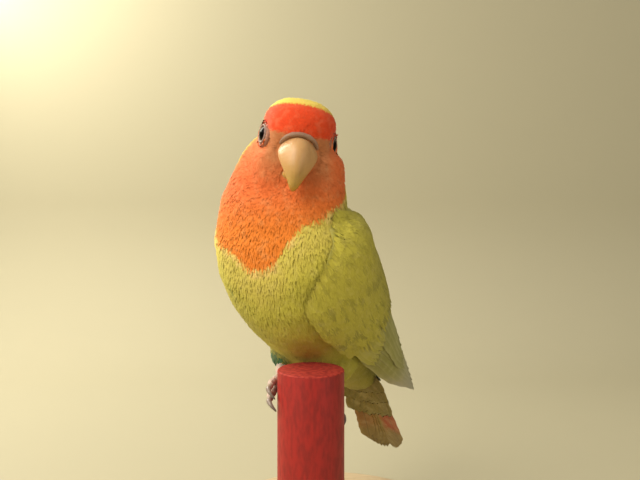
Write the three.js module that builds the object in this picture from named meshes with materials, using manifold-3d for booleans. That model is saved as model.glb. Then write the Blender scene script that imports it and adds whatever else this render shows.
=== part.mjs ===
// A life-size, still model of a peach-faced lovebird that grips the top of an upright round perch.
// Millimetres, +Z up. The origin is the centre of the display base's underside.
// The bird is built in its own frame: +X to its left, +Y towards its tail, +Z up, and turned as a whole.
import * as THREE from "three";
import { mergeVertices } from "three/addons/utils/BufferGeometryUtils.js";
import Module from "manifold-3d";

const wasm = await Module();
wasm.setup();

// Driving dimensions
const GAP = 0.3; // clearance between pieces that touch
const BASE_RADIUS = 55;
const BASE_HEIGHT = 10;
const BASE_EDGE = 1.5; // chamfer of the base's rim
const ROD_RADIUS = 3;
const ROD_LENGTH = 16;
const PERCH_RADIUS = 11;
const PERCH_LENGTH = 50;
const PERCH_AT = [-7, -23]; // the perch's axis, in the part's frame
const BIRD_AT = [-15, -15, 118.4]; // the bird frame's origin: the middle of its body at breast height
const BIRD_YAW = -28; // degrees: the breast points to the left of the viewer
const HEAD_TURN = 33; // degrees back towards the viewer
const HEAD_NOD = 15;
const HEAD_TILT = 9;
const EYE_LINE = [7, -5, 32.9]; // the middle of the line between the eyes
const EYE_SPAN = 9.6; // from that middle to an eyeball's centre
const EYE_RADIUS = 3.4;
const EYE_FORWARD = 18; // degrees that an eye looks forward of straight sideways
const BILL_LENGTH = 17;
const BILL_WIDTH = 12.6;
const WING_LENGTH = 104;
const TAIL_LENGTH = 58;
const TOE_RADIUS = 1.55;

const DEG = Math.PI / 180;
const vec = (x, y, z) => new THREE.Vector3(x, y, z);

// Materials, one for each finish
const finish = (color, roughness, metalness = 0) =>
  new THREE.MeshStandardMaterial({ color, roughness, metalness });
const RED_PERCH = finish(0xb3261c, 0.55);
const PALE_WOOD = finish(0xcbb994, 0.6);
const STEEL = finish(0xb8bbbe, 0.3, 1);
const PEACH = finish(0xff7f4d, 0.8);
const ORANGE = finish(0xff9040, 0.8);
const LIME = finish(0xbdb845, 0.8);
const OLIVE = finish(0x8f8d3c, 0.7);
const TAIL_OLIVE = finish(0x84702a, 0.7);
const HORN = finish(0xd9ac70, 0.35);
const CERE_SKIN = finish(0xe0b7a0, 0.6);
const EYE_BROWN = finish(0x2c1512, 0.08);
const FOOT_SKIN = finish(0xb49684, 0.65);
const CLAW_HORN = finish(0x4b4038, 0.4);

// Solids

/** A closed geometry as a solid, turned inside out first where its faces point in. */
function solid(geometry) {
  const bare = new THREE.BufferGeometry();
  bare.setAttribute("position", geometry.getAttribute("position").clone());
  if (geometry.index) bare.setIndex(geometry.index.clone());
  const merged = mergeVertices(bare, 1e-3);
  const index = new Uint32Array(merged.index.array);
  const build = (triVerts) =>
    new wasm.Manifold(
      new wasm.Mesh({ numProp: 3, vertProperties: merged.attributes.position.array, triVerts }),
    );
  const made = build(index);
  return made.volume() > 0 ? made : build(index.reverse());
}

/** The largest closed body of a solid, without loose scraps. */
function largest(body) {
  const bodies = body.decompose();
  return bodies.reduce((best, next) => (next.volume() > best.volume() ? next : best));
}

/** All the solids of a list joined into one. */
const join = (list) => list.reduce((sum, next) => sum.add(next));

const FINEST = 0.04; // edges whose going moves no face further than this are left out

/** A solid as a named mesh. */
function part(name, body, material) {
  const mesh = largest(largest(body).simplify(FINEST)).getMesh();
  const geometry = new THREE.BufferGeometry();
  const corners = new Float32Array(mesh.numVert * 3);
  for (let i = 0; i < mesh.numVert; i++)
    for (let k = 0; k < 3; k++) corners[3 * i + k] = mesh.vertProperties[mesh.numProp * i + k];
  geometry.setAttribute("position", new THREE.BufferAttribute(corners, 3));
  geometry.setIndex(new THREE.BufferAttribute(new Uint32Array(mesh.triVerts), 1));
  geometry.computeVertexNormals();
  const made = new THREE.Mesh(geometry, material);
  made.name = name;
  return made;
}

/** A smooth curve through numbers, read by a share from 0 to 1. */
function smooth(...values) {
  const curve = new THREE.CatmullRomCurve3(
    values.map((v) => vec(v, 0, 0)),
    false,
    "catmullrom",
    0.5,
  );
  return (t) => curve.getPoint(Math.min(1, Math.max(0, t))).x;
}

/** How far a rounded end has opened, for a share t of the length and a cap of that share. */
const rounded = (t, cap) => (t >= cap ? 1 : Math.sqrt(Math.max(0, 1 - (1 - t / cap) ** 2)));

/** A closed body swept along a path. radius(t, angle) is its radius; the angle starts towards side. */
function sweep(points, radius, { rings = 12, around = 14, caps = [0.1, 0.1], side = vec(1, 0, 0) } = {}) {
  const path = new THREE.CatmullRomCurve3(points, false, "centripetal");
  const ball = new THREE.SphereGeometry(1, around, rings);
  const place = ball.getAttribute("position");
  const uv = ball.getAttribute("uv");
  for (let i = 0; i < place.count; i++) {
    const v = 1 - uv.getY(i);
    const t = (1 - Math.cos(v * Math.PI)) / 2;
    const angle = (uv.getX(i) % 1) * 2 * Math.PI;
    const tangent = path.getTangentAt(t);
    const up = vec().crossVectors(tangent, side).normalize();
    const across = vec().crossVectors(up, tangent).normalize();
    const open = rounded(t, caps[0]) * rounded(1 - t, caps[1]);
    const reach = radius(t, angle);
    const [a, b] = Array.isArray(reach) ? reach : [reach, reach];
    const at = path
      .getPointAt(t)
      .addScaledVector(across, a * open * Math.cos(angle))
      .addScaledVector(up, b * open * Math.sin(angle));
    place.setXYZ(i, at.x, at.y, at.z);
  }
  return solid(ball);
}

/** A closed plate, both faces split alike. place(row share, column share, face) gives a corner. */
function plate(rows, columns, place) {
  const corners = [];
  const faces = [];
  const at = (i, j, face) => (i * (columns + 1) + j) * 2 + face;
  for (let i = 0; i <= rows; i++)
    for (let j = 0; j <= columns; j++)
      for (const face of [0, 1]) corners.push(...place(i / rows, j / columns, face).toArray());
  const quad = (a, b, c, d) => faces.push(a, b, c, a, c, d);
  for (let i = 0; i < rows; i++)
    for (let j = 0; j < columns; j++) {
      quad(at(i, j, 1), at(i + 1, j, 1), at(i + 1, j + 1, 1), at(i, j + 1, 1));
      faces.push(at(i, j, 0), at(i + 1, j + 1, 0), at(i + 1, j, 0));
      faces.push(at(i, j, 0), at(i, j + 1, 0), at(i + 1, j + 1, 0));
    }
  for (let i = 0; i < rows; i++) {
    quad(at(i, 0, 0), at(i + 1, 0, 0), at(i + 1, 0, 1), at(i, 0, 1));
    quad(at(i, columns, 1), at(i + 1, columns, 1), at(i + 1, columns, 0), at(i, columns, 0));
  }
  for (let j = 0; j < columns; j++) {
    quad(at(0, j, 1), at(0, j + 1, 1), at(0, j + 1, 0), at(0, j, 0));
    quad(at(rows, j, 0), at(rows, j + 1, 0), at(rows, j + 1, 1), at(rows, j, 1));
  }
  const geometry = new THREE.BufferGeometry();
  geometry.setAttribute("position", new THREE.BufferAttribute(new Float32Array(corners), 3));
  geometry.setIndex(faces);
  return solid(geometry);
}

/** The half of space behind a plane, as a large box that ends at the plane. */
function behind(point, normal) {
  const size = 300;
  const box = new THREE.BoxGeometry(size, size, size);
  box.translate(0, 0, -size / 2);
  const turn = new THREE.Quaternion().setFromUnitVectors(vec(0, 0, 1), normal.clone().normalize());
  box.applyQuaternion(turn);
  box.translate(point.x, point.y, point.z);
  return solid(box);
}

// Body: neck, breast, belly and rump are one swept form, from the crown's base to the root of the tail
const BODY = {
  lean: smooth(5.2, 2.6, 0, -2.4, -1.6, -0.4, 0.4, 1, 2.2, 3.4), // the middle line's place to the left
  back: smooth(-2, -1.5, -1, 0, 6, 16, 28, 39, 49, 57),
  up: smooth(38, 26, 17, 6, -7, -20, -33, -45, -54.5, -61.5),
  wide: smooth(16, 19.6, 23.8, 27.9, 26.6, 23, 17.3, 14, 10, 7.5),
  rear: smooth(12, 15.5, 19, 21, 22, 21, 18, 12.5, 8, 5),
  front: smooth(9.8, 11.6, 14, 21.4, 25, 23.6, 20, 15, 8.6, 5),
};
const BODY_CAPS = [0.09, 0.05]; // shares of the length over which the two ends are rounded off
const bodyPoints = Array.from({ length: 10 }, (_, i) =>
  vec(BODY.lean(i / 9), BODY.back(i / 9), BODY.up(i / 9)),
);
const bodyPath = new THREE.CatmullRomCurve3(bodyPoints, false, "centripetal");
const bodyLength = bodyPath.getLength();

/** The body's half-width and its depth on one side, at a share of its length. */
const bodyReach = (t, front) => [BODY.wide(t), front ? BODY.front(t) : BODY.rear(t)];

/** The body's form, grown outwards by some millimetres. */
function bodyForm(grow = 0) {
  const reach = (t, angle) => bodyReach(t, Math.sin(angle) > 0).map((size) => size + grow);
  return sweep(bodyPoints, reach, { rings: 22, around: 28, caps: BODY_CAPS });
}

const BODY_STEPS = 90;
const bodyFrames = Array.from({ length: BODY_STEPS + 1 }, (_, i) => ({
  at: bodyPath.getPointAt(i / BODY_STEPS),
  way: bodyPath.getTangentAt(i / BODY_STEPS),
}));

/** About how far a point lies outside the body's form; below zero inside it. */
function bodyField(point) {
  let best = 0;
  let least = Infinity;
  bodyFrames.forEach(({ at }, i) => {
    const away = Math.hypot(point.y - at.y, point.z - at.z);
    if (away < least) [best, least] = [i, away];
  });
  const { at, way } = bodyFrames[best];
  const from = point.clone().sub(at);
  const along = from.dot(way);
  const t = best / BODY_STEPS + along / bodyLength;
  if (t <= 0 || t >= 1) return Math.abs(along) + from.length() - 5;
  const front = from.dot(vec().crossVectors(way, vec(1, 0, 0)));
  const open = Math.max(0.05, rounded(t, BODY_CAPS[0]) * rounded(1 - t, BODY_CAPS[1]));
  const [wide, deep] = bodyReach(t, front > 0).map((size) => size * open);
  const share = Math.hypot(from.x / wide, front / deep);
  return ((share - 1) * Math.hypot(from.x, front)) / Math.max(share, 0.2);
}

// Head: a blend of rounded lumps round a centre, found by stepping out along each direction
const HEAD_LUMPS = [
  { at: [0, 3.5, 2.0], size: [11.6, 13, 10.6] }, // skull
  { at: [4.8, 2, 4.4], size: [6.4, 9, 7.3] }, // left side of the crown, over the eye
  { at: [-4.8, 2, 4.4], size: [6.4, 9, 7.3] }, // right side of the crown
  { at: [0, 5, -9], size: [13.5, 12, 9.5] }, // back of the cheeks
  { at: [4.5, 0.5, -8.5], size: [7.5, 8, 7] }, // left cheek
  { at: [-4.5, 0.5, -8.5], size: [7.5, 8, 7] }, // right cheek
  { at: [0, 1.5, -16], size: [13, 11, 9] }, // throat
  { at: [0, -4.5, 2], size: [8, 6.5, 6.5] }, // forehead and lores
  { at: [0, 11, -6.5], size: [11.5, 10, 11.5] }, // nape
];
const HEAD_BLEND = 0.6; // how sharply the lumps meet
const HEAD_CENTRE = vec(0, 2, -2.5);

/** Below zero inside the head's form, above zero outside. */
function headField(point) {
  let sum = 0;
  for (const { at, size } of HEAD_LUMPS) {
    const share = Math.hypot(
      (point.x - at[0]) / size[0],
      (point.y - at[1]) / size[1],
      (point.z - at[2]) / size[2],
    );
    sum += Math.exp(-HEAD_BLEND * (share - 1) * Math.min(...size));
  }
  return -Math.log(sum) / HEAD_BLEND;
}

/** The head's form in its own frame, grown outwards by some millimetres. */
function headForm(grow = 0) {
  const ball = new THREE.SphereGeometry(1, 24, 17);
  ball.rotateX(Math.PI / 2);
  const place = ball.getAttribute("position");
  for (let i = 0; i < place.count; i++) {
    const way = vec().fromBufferAttribute(place, i).normalize();
    let low = 0;
    let high = 40;
    for (let step = 0; step < 24; step++) {
      const middle = (low + high) / 2;
      if (headField(HEAD_CENTRE.clone().addScaledVector(way, middle)) < 0) low = middle;
      else high = middle;
    }
    const at = HEAD_CENTRE.clone().addScaledVector(way, low + grow);
    place.setXYZ(i, at.x, at.y, at.z);
  }
  return solid(ball);
}

const headMatrix = new THREE.Matrix4().compose(
  vec(...EYE_LINE),
  new THREE.Quaternion().setFromEuler(
    new THREE.Euler(HEAD_NOD * DEG, HEAD_TILT * DEG, HEAD_TURN * DEG, "ZXY"),
  ),
  vec(1, 1, 1),
);

/** Moves a solid from the head's frame into the bird's frame. */
const onHead = (body) => body.transform(headMatrix.elements);

// Bill and cere, in the head's frame
const billWide = smooth(0.46, 0.49, 0.49, 0.37, 0.2, 0.06);
const billDeep = smooth(5.4, 5.4, 5.2, 4.3, 2.8, 0.8);
const billReach = (share) => [BILL_WIDTH * billWide(share), billDeep(share)];

/** The hooked upper bill, from inside the face to its tip. */
function upperBill(grow = 0) {
  const points = [
    vec(0, -4, -3.6),
    vec(0, -10, -3.2),
    vec(0, -14, -6.4),
    vec(0, -15.6, -10.6),
    vec(0, -14.6, 2.2 - BILL_LENGTH),
  ];
  const reach = (t) => billReach(t).map((size) => size + grow);
  return sweep(points, reach, { rings: 11, around: 14, caps: [0.15, 0.1] });
}

/** The short lower bill, which shuts inside the hook. */
function lowerBill(grow = 0) {
  const points = [vec(0, -4, -8.5), vec(0, -8.5, -10.5), vec(0, -11.5, -10)];
  const wide = smooth(4.4, 4.4, 2.6);
  const deep = smooth(3.2, 2.6, 1.2);
  const reach = (t) => [wide(t) + grow, deep(t) + grow];
  return sweep(points, reach, { rings: 8, around: 14, caps: [0.2, 0.25] });
}

const NOSTRIL = { radius: 0.4, at: [2.9, -11.8, 2.45] };

/** A small round dent in the cere. */
function nostril(sign) {
  const hole = new THREE.SphereGeometry(NOSTRIL.radius, 6, 4);
  const [x, y, z] = NOSTRIL.at;
  hole.translate(sign * x, y, z);
  return solid(hole);
}

/** The soft band of skin over the root of the bill, with its two nostrils. */
function cere() {
  const points = [
    vec(-6, -8.4, -1.6),
    vec(-3.8, -10.3, 1.5),
    vec(0, -11.3, 2.6),
    vec(3.8, -10.3, 1.5),
    vec(6, -8.4, -1.6),
  ];
  const band = sweep(points, () => [1.2, 1.6], {
    rings: 10,
    around: 8,
    caps: [0.12, 0.12],
    side: vec(0, 0, 1),
  });
  return band.subtract(nostril(1)).subtract(nostril(-1));
}

// Eyes, with a raised ring of bare skin on the head round each

/** An eyeball's centre in the head's frame. */
const eyeAt = (sign) => vec(sign * EYE_SPAN, -0.4, 0);

/** The way that an eye looks. */
const eyeWay = (sign) =>
  vec(sign * Math.cos(EYE_FORWARD * DEG), -Math.sin(EYE_FORWARD * DEG), 0.06).normalize();

function eyeBall(sign, grow = 0) {
  const ball = new THREE.SphereGeometry(EYE_RADIUS + grow, 12, 8);
  const at = eyeAt(sign);
  ball.translate(at.x, at.y, at.z);
  return solid(ball);
}

function eyeRing(sign) {
  const ring = new THREE.TorusGeometry(2.95, 0.75, 5, 14);
  ring.applyQuaternion(new THREE.Quaternion().setFromUnitVectors(vec(0, 0, 1), eyeWay(sign)));
  const at = eyeAt(sign).addScaledVector(eyeWay(sign), 2.5);
  ring.translate(at.x, at.y, at.z);
  return solid(ring);
}

// Wings: a folded wing lies on the body as a curved plate. A place on it is a distance s from the bend
// towards the tip, and an angle round the body, from 0 on the back to 90 at the side and 180 on the belly.
const WING_START = vec(0, -6, 8);
const WING_WAY = vec(0, 0.714, -0.7).normalize();
const WING_OUT = vec(0, 0.7, 0.714).normalize();
const WING = {
  middle: smooth(3, 2, -1, -3, -4.5, -4.5, -4, -2, 0), // offset of the section's centre along WING_OUT
  wide: smooth(20, 24, 26, 26.5, 26, 25.5, 25, 24, 23),
  deep: smooth(18, 22, 24, 23.5, 21.5, 19, 16, 13, 11),
  upper: smooth(90, 58, 42, 36, 36, 40, 50, 64, 80), // angle of the edge on the back
  // angle of the leading edge: on the left the wing laps the belly, on the right the flank hides it
  lower: {
    left: smooth(100, 146, 146, 139.5, 133, 127, 120, 107, 95),
    right: smooth(84, 90, 94, 104, 114, 118, 114, 106, 95),
  },
};
const lowerEdge = (sign, t) => (sign > 0 ? WING.lower.left(t) : WING.lower.right(t));
const WING_CLEAR = 0.5; // least height of the wing's underside over the body's form

/** A point of the wing: s along it in millimetres, an angle in degrees, and a height over its surface. */
function wingPoint(sign, s, angle, height) {
  const t = s / WING_LENGTH;
  const turn = angle * DEG;
  const out = WING_OUT.clone()
    .multiplyScalar(Math.cos(turn) / WING.deep(t))
    .add(vec(Math.sin(turn) / WING.wide(t), 0, 0))
    .normalize();
  const at = WING_START.clone()
    .addScaledVector(WING_WAY, s)
    .addScaledVector(WING_OUT, WING.middle(t) + WING.deep(t) * Math.cos(turn))
    .add(vec(WING.wide(t) * Math.sin(turn), 0, 0));
  const side = vec(sign, 1, 1);
  for (let step = 0; step < 10; step++)
    at.addScaledVector(out, Math.max(0, WING_CLEAR + wingThick(t) - bodyField(at.clone().multiply(side))));
  return at.addScaledVector(out, height).multiply(side);
}

/** The wing's thickness at a share of its length. */
const wingThick = smooth(0.4, 1.1, 1.4, 1.4, 1.3, 1.2, 1, 0.9, 0.8);

/** The angle at a share of the wing's width, from 0 on the back to 1 on the leading edge. */
const wingAngle = (sign, s, share) =>
  THREE.MathUtils.lerp(WING.upper(s / WING_LENGTH), lowerEdge(sign, s / WING_LENGTH), share);

/** The wing's fleshy part with its feathers' roots, as a curved plate that thins out to its edges. */
function wingCore(sign) {
  const [start, end] = [2, 68];
  return plate(8, 5, (row, column, face) => {
    const s = start + row * (end - start);
    const thin = Math.sin(Math.PI * (0.08 + 0.84 * column)) ** 0.5 * (1 - 0.6 * row ** 3);
    const depth = face ? 0.9 - 0.6 * thin : 0.9 + wingThick(s / WING_LENGTH) * thin;
    return wingPoint(sign, s, wingAngle(sign, s, 0.05 + 0.9 * column), -depth);
  });
}

const VANE_THICK = 0.6;
const VANE_COLUMNS = 2;

/** How wide a vane is at a share of its length: narrow at the root, then full, and round at the tip. */
const vaneWidth = (row, point) => {
  const open = 0.55 + 0.45 * Math.min(1, row / 0.35);
  return row < point ? open : Math.max(0.3, Math.sqrt(1 - ((row - point) / (1 - point)) ** 2)) * open;
};

/** One wing feather as a thin curved vane. Its edge on the leading side lies over the next feather. */
function wingVane(sign, { from, to, width, rise, rows = 3, point = 0.6, tilt = 0.6 }) {
  return plate(rows, VANE_COLUMNS, (row, column, face) => {
    const reach = row ** 0.85;
    const across = 2 * column - 1;
    const s = THREE.MathUtils.lerp(from[0], to[0], reach);
    const share = THREE.MathUtils.lerp(from[1], to[1], reach);
    const t = s / WING_LENGTH;
    const round = (2 / (WING.wide(t) + WING.deep(t)) / DEG) * 0.5 * width * vaneWidth(reach, point);
    const skin = face ? VANE_THICK / 2 : -VANE_THICK / 2;
    const height = THREE.MathUtils.lerp(rise[0], rise[1], reach) + tilt * across + skin;
    return wingPoint(sign, s, wingAngle(sign, s, share) + across * round, height);
  });
}

// The tiers of covert feathers, from the shoulder outwards: how many lie side by side, where they start
// and end along the wing, which shares of its width they cover, how wide they are, and how high their
// roots and tips stand
const COVERT_TIERS = [
  { count: 4, along: [1, 15], band: [0.14, 0.84], width: 10, rise: [-1, 0.5] },
  { count: 4, along: [10, 26], band: [0.12, 0.88], width: 12, rise: [-1, 0.6] },
  { count: 5, along: [22, 41], band: [0.09, 0.91], width: 11, rise: [-1, 0.5] },
];
// The flight feathers: along the wing from root to tip, and the share of its width at both ends
const SECONDARIES = {
  count: 5,
  roots: [32, 38],
  tips: [60, 74],
  band: [0.08, 0.66],
  width: 9.5,
  rise: [-0.9, 0.7],
};
const PRIMARIES = [
  { from: [42, 0.6], to: [81, 0.1] },
  { from: [42, 0.68], to: [88, 0.17] },
  { from: [41, 0.76], to: [95, 0.28] },
  { from: [40, 0.84], to: [101, 0.46] },
  { from: [38, 0.91], to: [WING_LENGTH, 0.8] },
  { from: [37, 0.95], to: [83, 0.97] },
];
const PRIMARY_COVERTS = { count: 2, along: [36, 54], band: [0.76, 0.92], width: 8, rise: [-0.9, 0.4] };

/** Every feather of one wing. */
function wingFeathers(sign) {
  const lerp = THREE.MathUtils.lerp;
  const vanes = [];
  for (const tier of [...COVERT_TIERS, PRIMARY_COVERTS])
    for (let i = 0; i < tier.count; i++) {
      const share = lerp(...tier.band, i / (tier.count - 1));
      const slant = 3 * Math.sin(Math.PI * share);
      const [start, end] = tier.along;
      vanes.push({ from: [start, share], to: [end + slant, share], width: tier.width, rise: tier.rise });
    }
  for (let i = 0; i < SECONDARIES.count; i++) {
    const order = i / (SECONDARIES.count - 1);
    const share = lerp(...SECONDARIES.band, order);
    const from = [lerp(...SECONDARIES.roots, order), share];
    const to = [lerp(...SECONDARIES.tips, order), share * 0.9];
    vanes.push({ from, to, width: SECONDARIES.width, rise: SECONDARIES.rise, rows: 4, tilt: 0.55 });
  }
  PRIMARIES.forEach(({ from, to }, i) => {
    const height = -0.1 - 0.12 * i;
    vanes.push({ from, to, width: 7.5, rise: [-1.1, height], rows: 4, point: 0.7, tilt: 0.5 });
  });
  return vanes.map((vane) => wingVane(sign, vane));
}

// Tail: its frame starts at the root, runs back and down, and is a little arched across
const TAIL_START = vec(4.2, 54, -56);
const TAIL_WAY = vec(-0.02, 0.64, -0.768).normalize();
const TAIL_OUT = vec(0, 0.768, 0.64).normalize();
const TAIL_ARCH = 0.018; // drop of the tail's surface per square millimetre from its middle

function tailPoint(u, v, height) {
  return TAIL_START.clone()
    .addScaledVector(TAIL_WAY, u)
    .addScaledVector(TAIL_OUT, height - TAIL_ARCH * v * v)
    .add(vec(v, 0, 0));
}

/** One tail feather as a thin vane, from and to as a distance along the tail and one across it. */
function tailVane({ from, to, width, rise, tilt, rows = 4, point = 0.75 }) {
  return plate(rows, VANE_COLUMNS, (row, column, face) => {
    const across = 2 * column - 1;
    const v = THREE.MathUtils.lerp(from[1], to[1], row) + across * 0.5 * width * vaneWidth(row, point);
    const skin = face ? VANE_THICK / 2 : -VANE_THICK / 2;
    const height = THREE.MathUtils.lerp(rise[0], rise[1], row) - tilt * across + skin;
    return tailPoint(THREE.MathUtils.lerp(from[0], to[0], row), v, height);
  });
}

const TAIL_PAIRS = 5;

/** The rump's end with the roots of the tail feathers. */
function tailCore() {
  return plate(6, 4, (row, column, face) => {
    const across = 2 * column - 1;
    const thick = (5 - 3.6 * row) * (1 - 0.5 * across ** 4);
    return tailPoint(2 + 22 * row, across * (6 + 2.2 * row), (face ? 0.5 : -0.5) * thick - 1.2);
  });
}

/** Every feather of the tail: five pairs fanned out, and the coverts over and under them. */
function tailFeathers() {
  const vanes = [];
  for (const side of [1, -1])
    for (let pair = 0; pair < TAIL_PAIRS; pair++) {
      const from = [6, side * (0.7 + 0.8 * pair)];
      const to = [TAIL_LENGTH - 0.5 * pair ** 2, side * (1.4 + 1.5 * pair)];
      const height = -0.48 * pair - (side < 0 ? 0.2 : 0);
      vanes.push({ from, to, width: 8, rise: [-1.4, height], tilt: 0.22 * side });
    }
  for (const [count, start, end, over] of [[2, 3, 18, 1], [3, 8, 27, 1], [3, 5, 24, -1]])
    for (let i = 0; i < count; i++) {
      const across = (2 * i) / (count - 1) - 1;
      const rise = over > 0 ? [-0.6, 0.9] : [-1.8, -4.2];
      const to = [end - 4 * across ** 2, across * 6.5];
      const tilt = 0.15 * across;
      vanes.push({ from: [start, across * 4], to, width: 9, rise, rows: 3, point: 0.6, tilt });
    }
  return vanes.map(tailVane);
}

// Legs and feet. The perch's axis in the bird's frame
const birdMatrix = new THREE.Matrix4().compose(
  vec(...BIRD_AT),
  new THREE.Quaternion().setFromEuler(new THREE.Euler(0, 0, BIRD_YAW * DEG)),
  vec(1, 1, 1),
);
const PERCH_TOP = BASE_HEIGHT + ROD_LENGTH + PERCH_LENGTH;
const perchAxis = vec(...PERCH_AT, PERCH_TOP).applyMatrix4(birdMatrix.clone().invert());

/** A point round the perch, at an angle from the bird's left towards its back. */
const roundPerch = (angle, reach, drop) =>
  vec(
    perchAxis.x + reach * Math.cos(angle * DEG),
    perchAxis.y + reach * Math.sin(angle * DEG),
    perchAxis.z - drop,
  );

/** The perch's cylinder in the bird's frame, grown for clearance. */
function perchForm(grow = GAP) {
  const radius = PERCH_RADIUS + grow;
  const post = new THREE.CylinderGeometry(radius, radius, PERCH_LENGTH + 2 * grow, 32);
  post.rotateX(Math.PI / 2);
  post.translate(perchAxis.x, perchAxis.y, perchAxis.z - PERCH_LENGTH / 2);
  return solid(post);
}

const FEET = [
  { name: "right", hip: [-10, 19, -36], knee: [-8.5, 9.5, -47], palm: 168, drop: 4.8, spread: 0.9 },
  { name: "left", hip: [10, 24, -40], knee: [9, 17, -52], palm: 104, drop: 13, spread: 0.7 },
];
// Each toe runs round the perch from the palm: how far it turns, how far it drops, and how thick it is
const TOES = [
  { turn: 48, drop: -0.6, size: 0.95 },
  { turn: 54, drop: 3, size: 1.05 },
  { turn: -34, drop: -0.8, size: 0.95 },
  { turn: -42, drop: 3.2, size: 1.05 },
];
const TOE_REACH = PERCH_RADIUS + GAP + TOE_RADIUS + 0.1;

/** The feathered thigh. */
function thigh(foot, grow = 0) {
  const points = [vec(...foot.hip), vec(...foot.hip).lerp(vec(...foot.knee), 0.5), vec(...foot.knee)];
  const size = smooth(8, 6.6, 3.4);
  return sweep(points, (t) => size(t) + grow, { rings: 10, around: 14, caps: [0.2, 0.2] });
}

/** The bare shank and the palm under it. */
function shank(foot, grow = 0) {
  const palm = roundPerch(foot.palm, TOE_REACH + 0.6, foot.drop);
  const points = [vec(...foot.knee), vec(...foot.knee).lerp(palm, 0.5), palm];
  const size = smooth(2.3, 2.0, 2.2);
  return sweep(points, (t) => size(t) + grow, { rings: 6, around: 8, caps: [0.15, 0.2] });
}

/** The centre line of a toe, from the palm round the perch. */
function toePath(foot, toe) {
  const points = [];
  const steps = 5;
  for (let i = 0; i <= steps; i++) {
    const share = i / steps;
    const drop = foot.drop + toe.drop * Math.min(1, share * 2.2) + 1.2 * share;
    const lift = 0.5 * Math.sin(share * Math.PI * 3) ** 2;
    points.push(roundPerch(foot.palm + toe.turn * foot.spread * share, TOE_REACH + lift, drop));
  }
  return points;
}

/** One toe, with a pad under each joint. */
function toeForm(foot, toe, grow = 0) {
  const pads = (t) => 0.94 + 0.08 * Math.cos(t * 6 * Math.PI);
  const size = (t) => TOE_RADIUS * toe.size * (1 - 0.22 * t) * pads(t) + grow;
  return sweep(toePath(foot, toe), size, {
    rings: 8,
    around: 6,
    caps: [0.12, 0.12],
    side: vec(0, 0, 1),
  });
}

/** One hooked claw at a toe's end, lying along the perch. */
function claw(foot, toe) {
  const end = foot.palm + toe.turn * foot.spread;
  const drop = foot.drop + toe.drop + 1.2;
  const step = Math.sign(toe.turn);
  const points = [
    roundPerch(end - 3 * step, TOE_REACH, drop),
    roundPerch(end + 7 * step, TOE_REACH + 1.0, drop + 0.5),
    roundPerch(end + 15 * step, TOE_REACH + 0.5, drop + 1.7),
    roundPerch(end + 19 * step, TOE_REACH - 0.7, drop + 3.3),
  ];
  return sweep(points, smooth(1.0, 0.9, 0.6, 0.22), {
    rings: 5,
    around: 5,
    caps: [0.1, 0.08],
    side: vec(0, 0, 1),
  });
}

// Assembly of the bird, in its own frame
const THROAT_CUT = { at: vec(0, 0, 18), way: vec(0, -0.25, 1) }; // between head and neck
const NECK_CUT = { at: vec(0, 0, 4), way: vec(0, -0.3, 1) }; // between neck and torso

/** What lies between two cuts, each moved by half a gap. */
function between(body, above, below) {
  let made = body;
  if (above) {
    const way = above.way.clone().normalize();
    made = made.intersect(behind(above.at.clone().addScaledVector(way, -GAP / 2), way));
  }
  if (below) {
    const way = below.way.clone().normalize();
    made = made.subtract(behind(below.at.clone().addScaledVector(way, GAP / 2), way));
  }
  return made;
}

const bird = new THREE.Group();
bird.position.set(...BIRD_AT);
bird.rotation.z = BIRD_YAW * DEG;

const sides = [
  { name: "left", sign: 1 },
  { name: "right", sign: -1 },
];

// Head with its sockets and eye rings
const whole = join([onHead(headForm()), bodyForm(), ...sides.map(({ sign }) => onHead(eyeRing(sign)))]);
const headSkin = onHead(headForm(GAP));
const sockets = join(sides.map(({ sign }) => onHead(eyeBall(sign, GAP))));
const billRoom = onHead(join([upperBill(GAP), lowerBill(GAP)]));
const head = between(whole, null, THROAT_CUT).subtract(sockets);
const bodySkin = bodyForm(GAP);
const billAway = (body) => body.subtract(headSkin).subtract(bodySkin);
bird.add(part("head", head, PEACH));
bird.add(part("neck", between(whole, THROAT_CUT, NECK_CUT), ORANGE));
for (const { name, sign } of sides) bird.add(part(`eye_${name}`, onHead(eyeBall(sign)), EYE_BROWN));
bird.add(part("bill_upper", billAway(onHead(upperBill())), HORN));
bird.add(part("bill_lower", billAway(onHead(lowerBill().subtract(upperBill(GAP)))), HORN));
bird.add(part("cere", billAway(onHead(cere())).subtract(billRoom), CERE_SKIN));

// Torso, legs and feet
const torsoForm = between(bodyForm(), NECK_CUT, null);
const perchRoom = perchForm();
const footRoom = join(
  FEET.flatMap((foot) => [shank(foot, GAP), ...TOES.map((toe) => toeForm(foot, toe, GAP))]),
);
bird.add(part("torso", torsoForm.subtract(perchRoom).subtract(footRoom), LIME));
for (const foot of FEET) {
  const sole = join([shank(foot), ...TOES.map((toe) => toeForm(foot, toe))]);
  const legRoom = thigh(foot, GAP);
  const otherThighs = join(FEET.filter((f) => f !== foot).map((f) => thigh(f, GAP)));
  const clear = (body) => body.subtract(bodySkin).subtract(perchRoom);
  bird.add(part(`thigh_${foot.name}`, clear(thigh(foot)).subtract(footRoom), LIME));
  bird.add(part(`foot_${foot.name}`, clear(sole).subtract(legRoom).subtract(otherThighs), FOOT_SKIN));
  TOES.forEach((toe, i) => {
    const nail = claw(foot, toe).subtract(footRoom).subtract(perchRoom).subtract(bodySkin);
    bird.add(part(`claw_${foot.name}_${i + 1}`, nail, CLAW_HORN));
  });
}

// Wings and tail
for (const { name, sign } of sides) {
  const wing = join([wingCore(sign), ...wingFeathers(sign)]).subtract(bodySkin);
  bird.add(part(`wing_${name}`, wing, OLIVE));
}
bird.add(part("tail", join([tailCore(), ...tailFeathers()]).subtract(bodySkin), TAIL_OLIVE));

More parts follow.
